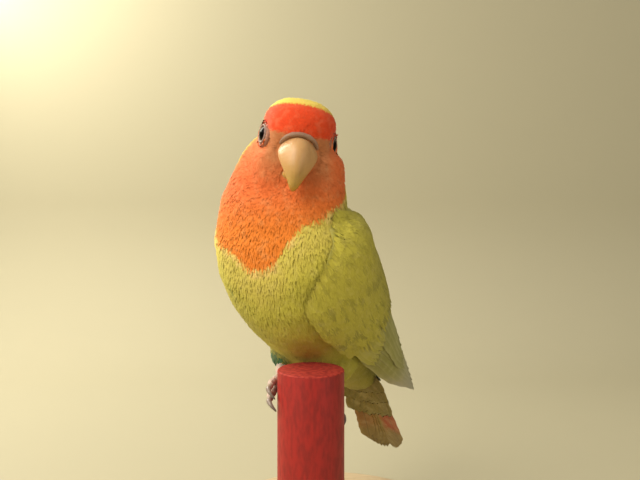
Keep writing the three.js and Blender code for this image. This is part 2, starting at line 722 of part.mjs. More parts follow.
// Perch and stand
function disc(radius, height, bottom, edge, segments = 48) {
  const profile = [
    new THREE.Vector2(0, bottom),
    new THREE.Vector2(radius - edge, bottom),
    new THREE.Vector2(radius, bottom + edge),
    new THREE.Vector2(radius, bottom + height - edge),
    new THREE.Vector2(radius - edge, bottom + height),
    new THREE.Vector2(0, bottom + height),
  ];
  const lathe = new THREE.LatheGeometry(profile, segments);
  lathe.rotateX(Math.PI / 2);
  return solid(lathe);
}

const stand = new THREE.Group();
stand.add(part("stand_base", disc(BASE_RADIUS, BASE_HEIGHT, 0, BASE_EDGE, 40), PALE_WOOD));
const post = new THREE.Group();
post.position.set(...PERCH_AT, 0);
post.add(part("stand_rod", disc(ROD_RADIUS, ROD_LENGTH - 2 * GAP, BASE_HEIGHT + GAP, 0.2, 16), STEEL));
post.add(part("perch", disc(PERCH_RADIUS, PERCH_LENGTH, BASE_HEIGHT + ROD_LENGTH, 0.4, 32), RED_PERCH));
stand.add(post);

const lovebird = new THREE.Group();
lovebird.add(bird, stand);

export default lovebird;
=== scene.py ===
"""A life-size still model of a peach-faced lovebird that grips an upright red perch.

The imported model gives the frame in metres, +Z up. Here its forms get their looks: one skin with a coat
of small feathers, wings and tail made of single vanes, bill, cere, eyes with their bare rings, scaly
feet and claws, the red perch and its display stand.
"""

import logging
import math
from dataclasses import dataclass, field
from enum import Enum
from typing import Any, Callable, Sequence

import bmesh
import bpy
import numpy as np
from mathutils import Matrix, Vector
from mathutils.bvhtree import BVHTree


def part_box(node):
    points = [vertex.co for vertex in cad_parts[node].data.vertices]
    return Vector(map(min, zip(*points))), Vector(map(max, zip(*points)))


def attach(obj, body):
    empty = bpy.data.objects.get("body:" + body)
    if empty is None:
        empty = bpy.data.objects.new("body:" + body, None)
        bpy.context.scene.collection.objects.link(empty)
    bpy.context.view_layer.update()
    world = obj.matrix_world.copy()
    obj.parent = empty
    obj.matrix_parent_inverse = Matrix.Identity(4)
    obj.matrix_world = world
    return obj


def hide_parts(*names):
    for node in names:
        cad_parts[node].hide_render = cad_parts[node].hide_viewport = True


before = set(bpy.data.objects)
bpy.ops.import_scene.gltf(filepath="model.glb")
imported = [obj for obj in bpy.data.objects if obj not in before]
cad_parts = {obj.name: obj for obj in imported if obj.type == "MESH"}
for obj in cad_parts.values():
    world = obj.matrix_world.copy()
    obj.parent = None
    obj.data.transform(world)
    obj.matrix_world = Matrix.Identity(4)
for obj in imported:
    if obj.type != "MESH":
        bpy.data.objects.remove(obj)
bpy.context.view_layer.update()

LOG = logging.getLogger("lovebird")
MM = 0.001
Array = np.ndarray


class Side(Enum):
    """A side of the bird, as the sign of its left-hand axis."""

    LEFT = 1
    RIGHT = -1

    @property
    def word(self) -> str:
        """The side's name as the nodes spell it."""
        return self.name.lower()


# Numbers that vary along a form


@dataclass(frozen=True)
class Curve:
    """A smooth curve through evenly spread values, read by a share from 0 to 1."""

    values: tuple[float, ...]

    def __call__(self, share: Array | float) -> Array:
        """Reads the curve.

        Args:
            share: Where to read, from 0 at the first value to 1 at the last.

        Returns:
            The value at each share.
        """
        points = np.asarray(self.values, float)
        padded = np.concatenate(([2 * points[0] - points[1]], points, [2 * points[-1] - points[-2]]))
        place = np.clip(np.asarray(share, float), 0, 1) * (len(points) - 1)
        first = np.minimum(place.astype(int), len(points) - 2)
        t = place - first
        before, start, end, after = (padded[first + k] for k in range(4))
        leave, arrive = (end - before) / 2, (after - start) / 2
        bend = 3 * (end - start) - 2 * leave - arrive
        turn = 2 * (start - end) + leave + arrive
        return start + t * (leave + t * (bend + t * turn))


def smoothstep(low: float, high: float, value: Array) -> Array:
    """A soft step that is 0 below low and 1 above high."""
    t = np.clip((value - low) / (high - low), 0, 1)
    return t * t * (3 - 2 * t)


def rounded(share: Array, cap: float) -> Array:
    """How far a rounded end has opened, at a share of the length from that end."""
    return np.sqrt(np.clip(1 - (1 - np.minimum(share / cap, 1)) ** 2, 0, 1))


def unit(vectors: Array) -> Array:
    """The vectors, each brought to length 1."""
    return vectors / np.maximum(np.linalg.norm(vectors, axis=-1, keepdims=True), 1e-12)


def first_of_three(values: Array) -> Array:
    """Rows of three numbers: each value and two zeros."""
    return np.stack([values, values * 0, values * 0], -1)


def lerp(start: Any, end: Any, share: Any) -> Any:
    """The value at a share of the way from start to end."""
    return start + (end - start) * share


WAVES = 6  # waves that are added up to a soft random value
WAVE_SUM = 3.5  # a sum of these waves that is seldom passed


def noise(points: Array, scale: float, seed: int = 0) -> Array:
    """A soft random value from -1 to 1 that changes slowly over space.

    Args:
        points: Places, one row each.
        scale: The distance over which the value changes.
        seed: Picks another pattern.

    Returns:
        One value for each place.
    """
    rng = np.random.default_rng(seed)
    total = np.zeros(len(points))
    for _ in range(WAVES):
        way = unit(rng.normal(size=3)) * rng.uniform(0.6, 1.7) / scale
        total += np.sin(points @ way * 2 * math.pi + rng.uniform(0, 2 * math.pi))
    return total / WAVE_SUM


# The bird's own frames: +X to its left, +Y towards its tail, +Z up


def turned(axis: str, degrees: float) -> Matrix:
    """A turn round one axis."""
    return Matrix.Rotation(math.radians(degrees), 4, axis)


def moved(x: float, y: float, z: float) -> Matrix:
    """A move in millimetres."""
    return Matrix.Translation(Vector((x, y, z)) * MM)


@dataclass(frozen=True)
class Pose:
    """Where the body and the head stand and how they are turned. Millimetres and degrees."""

    body_at: tuple[float, float, float] = (-15, -15, 118.4)
    yaw: float = -28
    eye_line: tuple[float, float, float] = (7, -5, 32.9)
    head_turn: float = 33
    head_nod: float = 15
    head_tilt: float = 9

    @property
    def body(self) -> Matrix:
        """Takes the body's frame into the model's."""
        return moved(*self.body_at) @ turned("Z", self.yaw)

    @property
    def head(self) -> Matrix:
        """Takes the head's frame into the model's."""
        turn = turned("Z", self.head_turn) @ turned("X", self.head_nod) @ turned("Y", self.head_tilt)
        return self.body @ moved(*self.eye_line) @ turn


POSE = Pose()


def through(matrix: Matrix, points: Array) -> Array:
    """Points in millimetres taken through a matrix into metres."""
    grid = np.array(matrix)
    return np.asarray(points, float) * MM @ grid[:3, :3].T + grid[:3, 3]


def back_through(matrix: Matrix, points: Array) -> Array:
    """Points in metres taken back through a matrix into millimetres."""
    grid = np.array(matrix.inverted())
    return (np.asarray(points, float) @ grid[:3, :3].T + grid[:3, 3]) / MM


FACE_MIDDLE = (0, -9, -1)  # in the head's frame, in millimetres


def from_face(places: Array) -> Array:
    """How far some places lie from the middle of the face, in millimetres."""
    return np.linalg.norm(back_through(POSE.head, places) - FACE_MIDDLE, axis=1)


# Shader maths


class Value:
    """A number in a shader, with the usual arithmetic."""

    def __init__(self, shader: "Shader", socket: bpy.types.NodeSocket) -> None:
        """Wraps a socket of a shader."""
        self.shader = shader
        self.socket = socket

    def maths(self, operation: str, *others: Any) -> "Value":
        """Adds one Math node.

        Args:
            operation: The node's operation.
            others: The further inputs, as numbers or values.

        Returns:
            The node's result.
        """
        inputs = dict(enumerate((self, *others)))
        return self.shader.value(self.shader.node("Math", {"operation": operation}, inputs))

    def __add__(self, other: Any) -> "Value":
        """The sum."""
        return self.maths("ADD", other)

    __radd__ = __add__

    def __sub__(self, other: Any) -> "Value":
        """The difference."""
        return self.maths("SUBTRACT", other)

    def __rsub__(self, other: Any) -> "Value":
        """The difference, the other way round."""
        return self * -1 + other

    def __mul__(self, other: Any) -> "Value":
        """The product."""
        return self.maths("MULTIPLY", other)

    __rmul__ = __mul__

    def wave(self) -> "Value":
        """Its sine."""
        return self.maths("SINE")

    def size(self) -> "Value":
        """Its distance from zero."""
        return self.maths("ABSOLUTE")

    def step(self, low: float, high: float) -> "Value":
        """A soft step from 0 at low to 1 at high."""
        inputs = {"Value": self, "From Min": low, "From Max": high}
        return self.shader.value(self.shader.node("MapRange", {"interpolation_type": "SMOOTHSTEP"}, inputs))


class Shader:
    """A material and the nodes that make it."""

    def __init__(self, name: str) -> None:
        """Starts an empty material of that name.

        Args:
            name: The material's name.
        """
        self.material = bpy.data.materials.new(name)
        self.material.use_nodes = True
        self.tree = self.material.node_tree
        self.tree.nodes.clear()

    def node(self, kind: str, settings: dict[str, Any] | None = None, sockets: dict | None = None) -> Any:
        """Adds one node.

        Args:
            kind: The node's type without its ShaderNode beginning.
            settings: The node's own properties, and a ramp's stops as a list of place and colour.
            sockets: A number, colour, value or socket for each input, by name or number.

        Returns:
            The node.
        """
        made = self.tree.nodes.new("ShaderNode" + kind)
        for key, setting in (settings or {}).items():
            if key == "stops":
                self._set_stops(made.color_ramp, setting)
            else:
                setattr(made, key, setting)
        for key, given in (sockets or {}).items():
            source = given.socket if isinstance(given, Value) else given
            if isinstance(source, bpy.types.NodeSocket):
                self.tree.links.new(source, made.inputs[key])
            else:
                made.inputs[key].default_value = source
        return made

    @staticmethod
    def _set_stops(ramp: bpy.types.ColorRamp, stops: Sequence[tuple[float, Sequence[float]]]) -> None:
        """Gives a colour ramp its stops.

        Args:
            ramp: The ramp.
            stops: Each place from 0 to 1 and its colour.
        """
        while len(ramp.elements) > 1:
            ramp.elements.remove(ramp.elements[-1])
        for index, (place, color) in enumerate(stops):
            stop = ramp.elements[0] if index == 0 else ramp.elements.new(place)
            stop.position = place
            stop.color = (*color, 1)

    def value(self, node: bpy.types.Node, output: str | int = 0) -> Value:
        """One output of a node as a value."""
        return Value(self, node.outputs[output])

    def place(self) -> bpy.types.NodeSocket:
        """The object's own coordinates, in metres."""
        return self.node("TexCoord").outputs["Object"]

    def height(self) -> Value:
        """The height over the floor, in metres."""
        return self.value(self.node("SeparateXYZ", None, {0: self.place()}), 2)

    def attribute(self, name: str) -> bpy.types.Node:
        """The node that reads a mesh attribute."""
        return self.node("Attribute", {"attribute_name": name})

    def marks(self, name: str) -> tuple[Value, Value, Value]:
        """The three numbers of a colour attribute."""
        parts = self.node("SeparateColor", None, {"Color": self.attribute(name).outputs["Color"]})
        return self.value(parts, 0), self.value(parts, 1), self.value(parts, 2)

    def vane(self) -> tuple[Value, Value]:
        """Across a vane from -1 to 1 and along it from 0 to 1, read from its UV map."""
        parts = self.node("SeparateXYZ", None, {0: self.node("UVMap", {"uv_map": "vane"}).outputs[0]})
        return self.value(parts, 0) * 2 - 1, self.value(parts, 1)

    def noise(self, scale: float, detail: float = 3, stretch: Sequence[float] = (1, 1, 1)) -> Value:
        """Noise over the object's own coordinates.

        Args:
            scale: How many waves fit in a metre.
            detail: How many finer octaves are added.
            stretch: A factor for each axis, below 1 to draw the pattern out along it.

        Returns:
            A value round 0.5.
        """
        where = self.node("Mapping", None, {"Vector": self.place(), "Scale": tuple(stretch)})
        sockets = {"Vector": where.outputs[0], "Scale": scale, "Detail": detail}
        return self.value(self.node("TexNoise", None, sockets), "Fac")

    def cells(self, scale: float) -> Value:
        """Distance to the borders of cells over the object's own coordinates."""
        sockets = {"Vector": self.place(), "Scale": scale}
        return self.value(self.node("TexVoronoi", {"feature": "DISTANCE_TO_EDGE"}, sockets), "Distance")

    def mix(self, factor: Any, first: Any, second: Any, blend: str = "MIX") -> bpy.types.NodeSocket:
        """Mixes two colours.

        Args:
            factor: The share of the second, as a number or a value.
            first: A colour or a socket.
            second: A colour or a socket.
            blend: How they meet.

        Returns:
            The mixed colour's socket.
        """
        ends = {
            key: (*end, 1) if isinstance(end, tuple) and len(end) == 3 else end
            for key, end in ((6, first), (7, second))
        }
        settings = {"data_type": "RGBA", "blend_type": blend, "clamp_factor": True}
        return self.node("Mix", settings, {0: factor, **ends}).outputs[2]

    def bump(self, height: Value, strength: float, depth: float) -> bpy.types.NodeSocket:
        """A surface roughened by a height, whose full range is that depth in metres."""
        return self.node("Bump", None, {"Strength": strength, "Distance": depth, "Height": height}).outputs[0]

    def finish(self, color: Any, roughness: Any, **sockets: Any) -> bpy.types.Material:
        """Ends the material in one surface shader.

        Args:
            color: The base colour, as a colour or a socket.
            roughness: The roughness, as a number or a value.
            sockets: Further inputs of the surface, with _ for a space in their names.

        Returns:
            The material.
        """
        base = (*color, 1) if isinstance(color, tuple) else color
        named = {key.replace("_", " "): given for key, given in sockets.items()}
        surface = self.node("BsdfPrincipled", None, {"Base Color": base, "Roughness": roughness, **named})
        self.node("OutputMaterial", None, {"Surface": surface.outputs[0]})
        return self.material


Color = tuple[float, float, float]


# Finishes


@dataclass(frozen=True)
class Plumage:
    """Soft body feathers. Their markings come from the attributes marks and tone."""

    lime: Color = (0.72, 0.645, 0.09)
    # the back's olive, also used for painted shade low on the belly
    olive: Color = (0.27, 0.25, 0.05)
    rump: Color = (0.20, 0.27, 0.30)
    # the crown's yellow-green, brightened to bright yellow by painted rim light
    crown_and_rim_light: Color = (0.98, 0.74, 0.13)
    peach: Color = (0.95, 0.20, 0.055)
    orange: Color = (0.97, 0.27, 0.035)
    breast: tuple[float, float] = (0.118, 0.138)  # between these heights orange turns into peach
    red: Color = (0.95, 0.085, 0.02)
    # the lores' tan-orange; the same colour also paints shade down the sides of the bill
    lores_and_bill_shade: Color = (0.66, 0.25, 0.10)
    edging: Color = (0.95, 0.70, 0.22)
    flank: Color = (0.03, 0.14, 0.07)

    def material(self, name: str) -> bpy.types.Material:
        """Makes the material.

        Args:
            name: The material's name.

        Returns:
            The material.
        """
        made = Shader(name)
        red, peach, lores_and_bill_shade = made.marks("marks")
        crown_and_rim_light, olive, rump = made.marks("tone")
        shade, edging, flank = made.marks("shade")
        across, along = made.vane()
        color = made.mix(olive, self.lime, self.olive)
        color = made.mix(flank, color, self.flank)
        color = made.mix(rump, color, self.rump)
        # painted rim light: the top of the head behind the forehead turns bright yellow
        color = made.mix(crown_and_rim_light, color, self.crown_and_rim_light)
        on_face = made.mix(made.height().step(*self.breast), self.orange, self.peach)
        color = made.mix(peach, color, on_face)
        color = made.mix(edging, color, self.edging)
        color = made.mix(red, color, self.red)
        # the lores' colour, which also paints shade beside the bill
        color = made.mix(lores_and_bill_shade, color, self.lores_and_bill_shade)
        darker = made.mix(1.0, color, (0.62, 0.56, 0.52), "MULTIPLY")
        root = 1 - along.step(0.05, 0.75)
        color = made.mix(root * 0.28, color, darker)
        color = made.mix(shade * 0.26, color, darker)
        paler = made.mix(0.16, color, (1.0, 0.86, 0.45))
        color = made.mix(made.noise(420, 2).step(0.45, 0.75) * 0.5, color, paler)
        barbs = ((along * 26 + across.size() * 9) * 2 * math.pi).wave() * 0.5 + 0.5
        normal = made.bump(barbs, 0.25, 0.00008)
        return made.finish(
            color, 0.72, Normal=normal, Sheen_Weight=0.1, Sheen_Roughness=0.5, Specular_IOR_Level=0.15
        )


@dataclass(frozen=True)
class VanedFeather:
    """Firm feathers with a shaft and barbs, from coverts to flight feathers."""

    base: Color
    edge: Color
    tip: Color
    shaft: Color
    band: Color = (0.6, 0.08, 0.02)
    barbs: float = 60

    def material(self, name: str) -> bpy.types.Material:
        """Makes the material.

        Args:
            name: The material's name.

        Returns:
            The material.
        """
        made = Shader(name)
        shade, length, band = made.marks("shade")
        across, along = made.vane()
        color = made.mix(across.size().step(0.45, 1.0), self.base, self.edge)
        color = made.mix(length * along.step(0.45, 1.0), color, self.tip)
        color = made.mix(band * along.step(0.25, 0.45) * (1 - along.step(0.7, 0.85)), color, self.band)
        darker = made.mix(1.0, color, (0.58, 0.56, 0.5), "MULTIPLY")
        color = made.mix(shade * 0.4 + (1 - along.step(0.0, 0.6)) * 0.4, color, darker)
        color = made.mix(made.noise(300, 3).step(0.4, 0.8) * 0.25, color, (0.62, 0.55, 0.25))
        shaft = 1 - across.size().step(0.02, 0.06)
        color = made.mix(shaft * 0.7, color, self.shaft)
        ripple = ((along * self.barbs + across.size() * 8) * 2 * math.pi).wave() * 0.5 + 0.5
        normal = made.bump(ripple + shaft * 3, 0.35, 0.00007)
        roughness = made.noise(900, 2) * 0.2 + 0.5
        return made.finish(color, roughness, Normal=normal, Sheen_Weight=0.12, Specular_IOR_Level=0.3)


@dataclass(frozen=True)
class Horn:
    """Smooth horn, paler towards the root and worn at the tip."""

    root: Color
    middle: Color
    tip: Color
    roughness: float = 0.32

    def material(self, name: str) -> bpy.types.Material:
        """Makes the material.

        Args:
            name: The material's name.

        Returns:
            The material.
        """
        made = Shader(name)
        along, _, _ = made.marks("shade")
        color = made.mix(along.step(0.0, 0.45), self.root, self.middle)
        color = made.mix(along.step(0.5, 1.0), color, self.tip)
        streaks = made.noise(500, 4, (1, 1, 0.18))
        darker = made.mix(1.0, color, (0.66, 0.55, 0.42), "MULTIPLY")
        color = made.mix(streaks.step(0.45, 0.8) * 0.45, color, darker)
        growth = ((along * 34 + made.noise(220, 2) * 2) * math.pi).wave() * 0.5 + 0.5
        normal = made.bump(growth * 0.35 + streaks, 0.3, 0.00009)
        return made.finish(
            color,
            streaks * 0.18 + (self.roughness - 0.08),
            Normal=normal,
            Coat_Weight=0.12,
            Coat_Roughness=0.3,
            Subsurface_Weight=0.12,
            Subsurface_Radius=(0.002, 0.001, 0.0006),
        )


@dataclass(frozen=True)
class BareSkin:
    """Bare skin with small scales or granules."""

    light: Color
    dark: Color
    grain: float
    depth: float

    def material(self, name: str) -> bpy.types.Material:
        """Makes the material.

        Args:
            name: The material's name.

        Returns:
            The material.
        """
        made = Shader(name)
        plates = made.cells(self.grain)
        blotches = made.noise(self.grain * 0.25, 3)
        color = made.mix(blotches.step(0.35, 0.7), self.light, self.dark)
        color = made.mix((1 - plates.step(0.0, 0.12)) * 0.55, color, self.dark)
        normal = made.bump(plates.step(0.0, 0.3), 0.6, self.depth)
        return made.finish(
            color,
            blotches * 0.2 + 0.45,
            Normal=normal,
            Subsurface_Weight=0.1,
            Subsurface_Radius=(0.0015, 0.0006, 0.0004),
        )


@dataclass(frozen=True)
class WetEye:
    """A dark brown iris round a black pupil, under a wet clear layer."""

    iris: Color = (0.085, 0.028, 0.018)
    pupil: Color = (0.0015, 0.001, 0.001)

    def material(self, name: str = "eye_brown") -> bpy.types.Material:
        """Makes the material.

        Args:
            name: The material's name.

        Returns:
            The material.
        """
        made = Shader(name)
        gaze, _, _ = made.marks("shade")
        threads = made.noise(2600, 3) * 0.06
        color = made.mix((gaze + threads).step(0.80, 0.84), self.iris, self.pupil)
        color = made.mix(1 - gaze.step(0.42, 0.58), color, (0.02, 0.012, 0.01))
        return made.finish(
            color, 0.25, Coat_Weight=0.4, Coat_Roughness=0.03, Coat_IOR=1.18, Specular_IOR_Level=0.02
        )


@dataclass(frozen=True)
class TurnedWood:
    """Wood with its grain along the z axis or across it, and a worn, fibrous cut end."""

    light: Color
    dark: Color
    end: Color
    stretch: tuple[float, float, float]
    gloss: float
    top: float = 1.0  # height of the cut end in metres, where there is one

    def material(self, name: str) -> bpy.types.Material:
        """Makes the material.

        Args:
            name: The material's name.

        Returns:
            The material.
        """
        made = Shader(name)
        grain = made.noise(900, 5, self.stretch)
        broad = made.noise(160, 3, self.stretch)
        color = made.mix(grain.step(0.35, 0.7), self.light, self.dark)
        color = made.mix(broad.step(0.45, 0.75) * 0.5, color, self.dark)
        on_end = made.height().step(self.top - 0.0006, self.top - 0.0002)
        fibres = made.noise(700, 6)
        cut = made.mix(fibres.step(0.38, 0.68), self.end, self.dark)
        color = made.mix(on_end, color, cut)
        normal = made.bump(grain * 0.4 + fibres * on_end * 1.6, 0.4, 0.00015)
        roughness = grain * 0.2 + (self.gloss - 0.1) + on_end * 0.25
        return made.finish(color, roughness, Normal=normal, Coat_Weight=0.04, Coat_Roughness=0.35)


@dataclass(frozen=True)
class BrushedSteel:
    """Brushed steel with fine lines round it."""

    color: Color = (0.56, 0.57, 0.58)

    def material(self, name: str = "stand_steel") -> bpy.types.Material:
        """Makes the material.

        Args:
            name: The material's name.

        Returns:
            The material.
        """
        made = Shader(name)
        lines = made.noise(600, 4, (0.1, 0.1, 8))
        color = made.mix(lines.step(0.3, 0.8) * 0.35, self.color, (0.36, 0.37, 0.38))
        normal = made.bump(lines, 0.2, 0.00004)
        return made.finish(color, lines * 0.25 + 0.2, Metallic=1.0, Normal=normal)


@dataclass(frozen=True)
class StudioPaper:
    """The pale matt paper of the floor and the backdrop."""

    color: Color = (0.44, 0.41, 0.29)

    def material(self, name: str = "studio_paper") -> bpy.types.Material:
        """Makes the material."""
        made = Shader(name)
        return made.finish(made.mix(made.noise(40, 3) * 0.1, self.color, (0.50, 0.45, 0.31)), 0.9)


# Meshes


def settle(piece: bpy.types.Object, slot: str, *nodes: str) -> bpy.types.Object:
    """Fixes a finished piece to the model, names what it stands for, and reports it.

    Args:
        piece: The piece.
        slot: The name of its finish; not used.
        nodes: The nodes of the frame that it stands for.

    Returns:
        The piece.
    """
    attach(piece, "root")
    if nodes:
        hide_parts(*nodes)
    stands_for = ", ".join(nodes) or "itself"
    LOG.info("%s: %d faces, stands for %s", piece.name, len(piece.data.polygons), stands_for)
    return piece


def as_object(
    name: str, shape: bmesh.types.BMesh | bpy.types.Mesh, finish: bpy.types.Material
) -> bpy.types.Object:
    """Turns a finished shape into an object of that name and finish, shaded smooth.

    Args:
        name: The object's name.
        shape: The shape, which is used up.
        finish: The material.

    Returns:
        The object.
    """
    mesh = shape
    if isinstance(shape, bmesh.types.BMesh):
        mesh = bpy.data.meshes.new(name)
        shape.to_mesh(mesh)
        shape.free()
    mesh.materials.clear()
    mesh.materials.append(finish)
    mesh.polygons.foreach_set("use_smooth", np.ones(len(mesh.polygons), bool))
    made = bpy.data.objects.new(name, mesh)
    bpy.context.scene.collection.objects.link(made)
    return made


def apply_modifiers(piece: bpy.types.Object) -> None:
    """Replaces an object's mesh by what its modifiers make of it.

    Args:
        piece: The object.
    """
    graph = bpy.context.evaluated_depsgraph_get()
    graph.update()
    mesh = bpy.data.meshes.new_from_object(piece.evaluated_get(graph))
    piece.modifiers.clear()
    piece.data = mesh
    mesh.polygons.foreach_set("use_smooth", np.ones(len(mesh.polygons), bool))


def places_of(mesh: bpy.types.Mesh) -> tuple[Array, Array]:
    """The corners of a mesh and their normals.

    Args:
        mesh: The mesh.

    Returns:
        One row for each corner, twice.
    """
    places = np.empty(len(mesh.vertices) * 3, np.float32)
    normals = np.empty(len(mesh.vertices) * 3, np.float32)
    mesh.vertices.foreach_get("co", places)
    mesh.vertex_normals.foreach_get("vector", normals)
    return places.reshape(-1, 3).astype(float), normals.reshape(-1, 3).astype(float)


def set_color(mesh: bpy.types.Mesh, name: str, colors: Array) -> None:
    """Stores three numbers for each corner as a colour attribute.

    Args:
        mesh: The mesh.
        name: The attribute's name.
        colors: One row for each corner.
    """
    stored = mesh.attributes.get(name) or mesh.attributes.new(name, "FLOAT_COLOR", "POINT")
    full = np.ones((len(mesh.vertices), 4), np.float32)
    full[:, :3] = colors
    stored.data.foreach_set("color", full.ravel())


def set_uv(mesh: bpy.types.Mesh, name: str, places: Array) -> None:
    """Stores a UV map from one place for each corner point.

    Args:
        mesh: The mesh.
        name: The map's name.
        places: One row for each corner.
    """
    layer = mesh.uv_layers.get(name) or mesh.uv_layers.new(name=name)
    corners = np.empty(len(mesh.loops), np.int32)
    mesh.loops.foreach_get("vertex_index", corners)
    layer.data.foreach_set("uv", places[corners].astype(np.float32).ravel())


def edges_of(verts: Sequence[bmesh.types.BMVert]) -> list[bmesh.types.BMEdge]:
    """The edges that meet at some corners."""
    return list({edge for vert in verts for edge in vert.link_edges})


def spin_round(shape: bmesh.types.BMesh, geometry: list, steps: int) -> None:
    """Spins a profile or a section once round the z axis.

    Args:
        shape: The mesh.
        geometry: The corners and edges that are spun.
        steps: How many faces the round has.
    """
    bmesh.ops.spin(
        shape, geom=geometry, cent=(0, 0, 0), axis=(0, 0, 1), angle=2 * math.pi, steps=steps, use_merge=True
    )


def remesh(piece: bpy.types.Object, voxel: float, rounds: int) -> None:
    """Fuses a mesh's overlapping forms into one closed skin and smooths it.

    Args:
        piece: The object.
        voxel: The size of the new faces, in metres.
        rounds: How many times the result is smoothed.
    """
    fuse = piece.modifiers.new("fuse", "REMESH")
    fuse.mode = "VOXEL"
    fuse.voxel_size = voxel
    soften = piece.modifiers.new("soften", "SMOOTH")
    soften.factor = 0.5
    soften.iterations = rounds
    apply_modifiers(piece)


def keep_largest(shape: bmesh.types.BMesh) -> None:
    """Deletes every island of a mesh apart from the largest.

    Args:
        shape: The mesh.
    """
    left = set(shape.verts)
    islands = []
    while left:
        front = [left.pop()]
        island = list(front)
        while front:
            for edge in front.pop().link_edges:
                for vert in edge.verts:
                    if vert in left:
                        left.remove(vert)
                        front.append(vert)
                        island.append(vert)
        islands.append(island)
    largest = max(islands, key=len)
    stray = [vert for island in islands if island is not largest for vert in island]
    bmesh.ops.delete(shape, geom=stray, context="VERTS")


@dataclass(frozen=True)
class Limb:
    """A rounded closed form swept along a smooth path. Millimetres, in a frame of its own."""

    points: tuple[tuple[float, float, float], ...]
    wide: Curve
    deep: Curve
    caps: tuple[float, float] = (0.15, 0.12)
    side: tuple[float, float, float] = (1, 0, 0)
    rings: int = 16
    sides: int = 16

    def path(self, shares: Array) -> tuple[Array, Array]:
        """The path's places and directions at even shares of its length.

        Args:
            shares: Shares of the length.

        Returns:
            One place and one direction for each share.
        """
        dense = np.linspace(0, 1, 200)
        line = np.stack([Curve(axis)(dense) for axis in zip(*self.points)], -1)
        run = np.concatenate(([0], np.cumsum(np.linalg.norm(np.diff(line, axis=0), axis=1))))
        run /= run[-1]
        at = np.stack([np.interp(shares, run, line[:, k]) for k in range(3)], -1)
        way = unit(np.gradient(line, axis=0))
        return at, unit(np.stack([np.interp(shares, run, way[:, k]) for k in range(3)], -1))

    def build(self, shape: bmesh.types.BMesh, place: Matrix) -> None:
        """Adds the form to a mesh.

        Args:
            shape: The mesh that it is added to.
            place: Takes the form's frame into the model's.
        """
        shares = (1 - np.cos(np.linspace(0.08, 0.92, self.rings) * math.pi)) / 2
        shares = (shares - shares[0]) / (shares[-1] - shares[0]) * 0.992 + 0.004
        at, way = self.path(shares)
        up = unit(np.cross(way, np.asarray(self.side, float)))
        across = np.cross(up, way)
        open_share = rounded(shares, self.caps[0]) * rounded(1 - shares, self.caps[1])
        last: list[bmesh.types.BMEdge] = []
        for k in range(self.rings):
            columns = (across[k] * self.wide(shares[k]), up[k] * self.deep(shares[k]), way[k])
            turn = Matrix([[*row] for row in np.array(columns).T * MM]).to_4x4()
            scale = Matrix.Diagonal((open_share[k], open_share[k], 1, 1))
            ring = place @ Matrix.Translation(Vector(at[k]) * MM) @ turn @ scale
            made = bmesh.ops.create_circle(shape, segments=self.sides, radius=1, matrix=ring)
            edges = edges_of(made["verts"])
            if last:
                bmesh.ops.bridge_loops(shape, edges=last + edges)
            else:
                bmesh.ops.holes_fill(shape, edges=edges, sides=0)
            last = edges
        bmesh.ops.holes_fill(shape, edges=last, sides=0)


def limb_object(
    name: str, limbs: Sequence[tuple[Limb, Matrix]], finish: bpy.types.Material
) -> bpy.types.Object:
    """One object from several swept forms, faces outwards.

    Args:
        name: The object's name.
        limbs: Each form, and what takes it into the model.
        finish: The material.

    Returns:
        The object.
    """
    shape = bmesh.new()
    for limb, place in limbs:
        limb.build(shape, place)
    bmesh.ops.recalc_face_normals(shape, faces=shape.faces)
    return as_object(name, shape, finish)


def subdivided(piece: bpy.types.Object, levels: int) -> bpy.types.Object:
    """Applies a subdivision surface.

    Args:
        piece: The object.
        levels: How often its faces are split.

    Returns:
        The same object.
    """
    fine = piece.modifiers.new("fine", "SUBSURF")
    fine.levels = fine.render_levels = levels
    apply_modifiers(piece)
    return piece


# Places on the body


@dataclass(frozen=True)
class BodyLine:
    """The line from the crown down the neck and back to the tail, round which the body is unwrapped."""

    lean: Curve = Curve((9, 8, 4, 1.5, -0.8, -2.4, -1.5, -0.5, 0, 0, 0, 0, 0))
    back: Curve = Curve((-7, -5, -2.5, -1.5, -1, 0, 6, 16, 28, 39, 49, 57, 66))
    up: Curve = Curve((50, 40, 31, 22, 14, 4, -9, -21, -34, -46, -55, -61.5, -68))
    steps: int = 160
    batch: int = 20000  # places that are located at once

    @property
    def samples(self) -> Array:
        """Places along the line."""
        share = np.linspace(0, 1, self.steps)
        return np.stack([self.lean(share), self.back(share), self.up(share)], -1)

    def locate(self, points: Array) -> tuple[Array, Array, Array]:
        """Finds where points lie along the line and round it.

        Args:
            points: Places in the model's frame, in metres.

        Returns:
            The share along the line, the angle round it in degrees, 0 at the breast and growing to the
            left, and the line's direction there in the model's frame.
        """
        own = back_through(POSE.body, points)
        line = self.samples
        ways = unit(np.gradient(line, axis=0))
        nearest = np.empty(len(own), int)
        for start in range(0, len(own), self.batch):
            part = own[start : start + self.batch]
            gap = ((part[:, None, 1:] - line[None, :, 1:]) ** 2).sum(-1)
            nearest[start : start + self.batch] = gap.argmin(1)
        at, way = line[nearest], ways[nearest]
        front = unit(np.cross(way, (1.0, 0.0, 0.0)))
        offset = own - at
        angle = np.degrees(np.arctan2(offset[:, 0], (offset * front).sum(1)))
        share = nearest / (self.steps - 1)
        turn = np.array(POSE.body)[:3, :3]
        return share, angle, way @ turn.T


BODY_LINE = BodyLine()


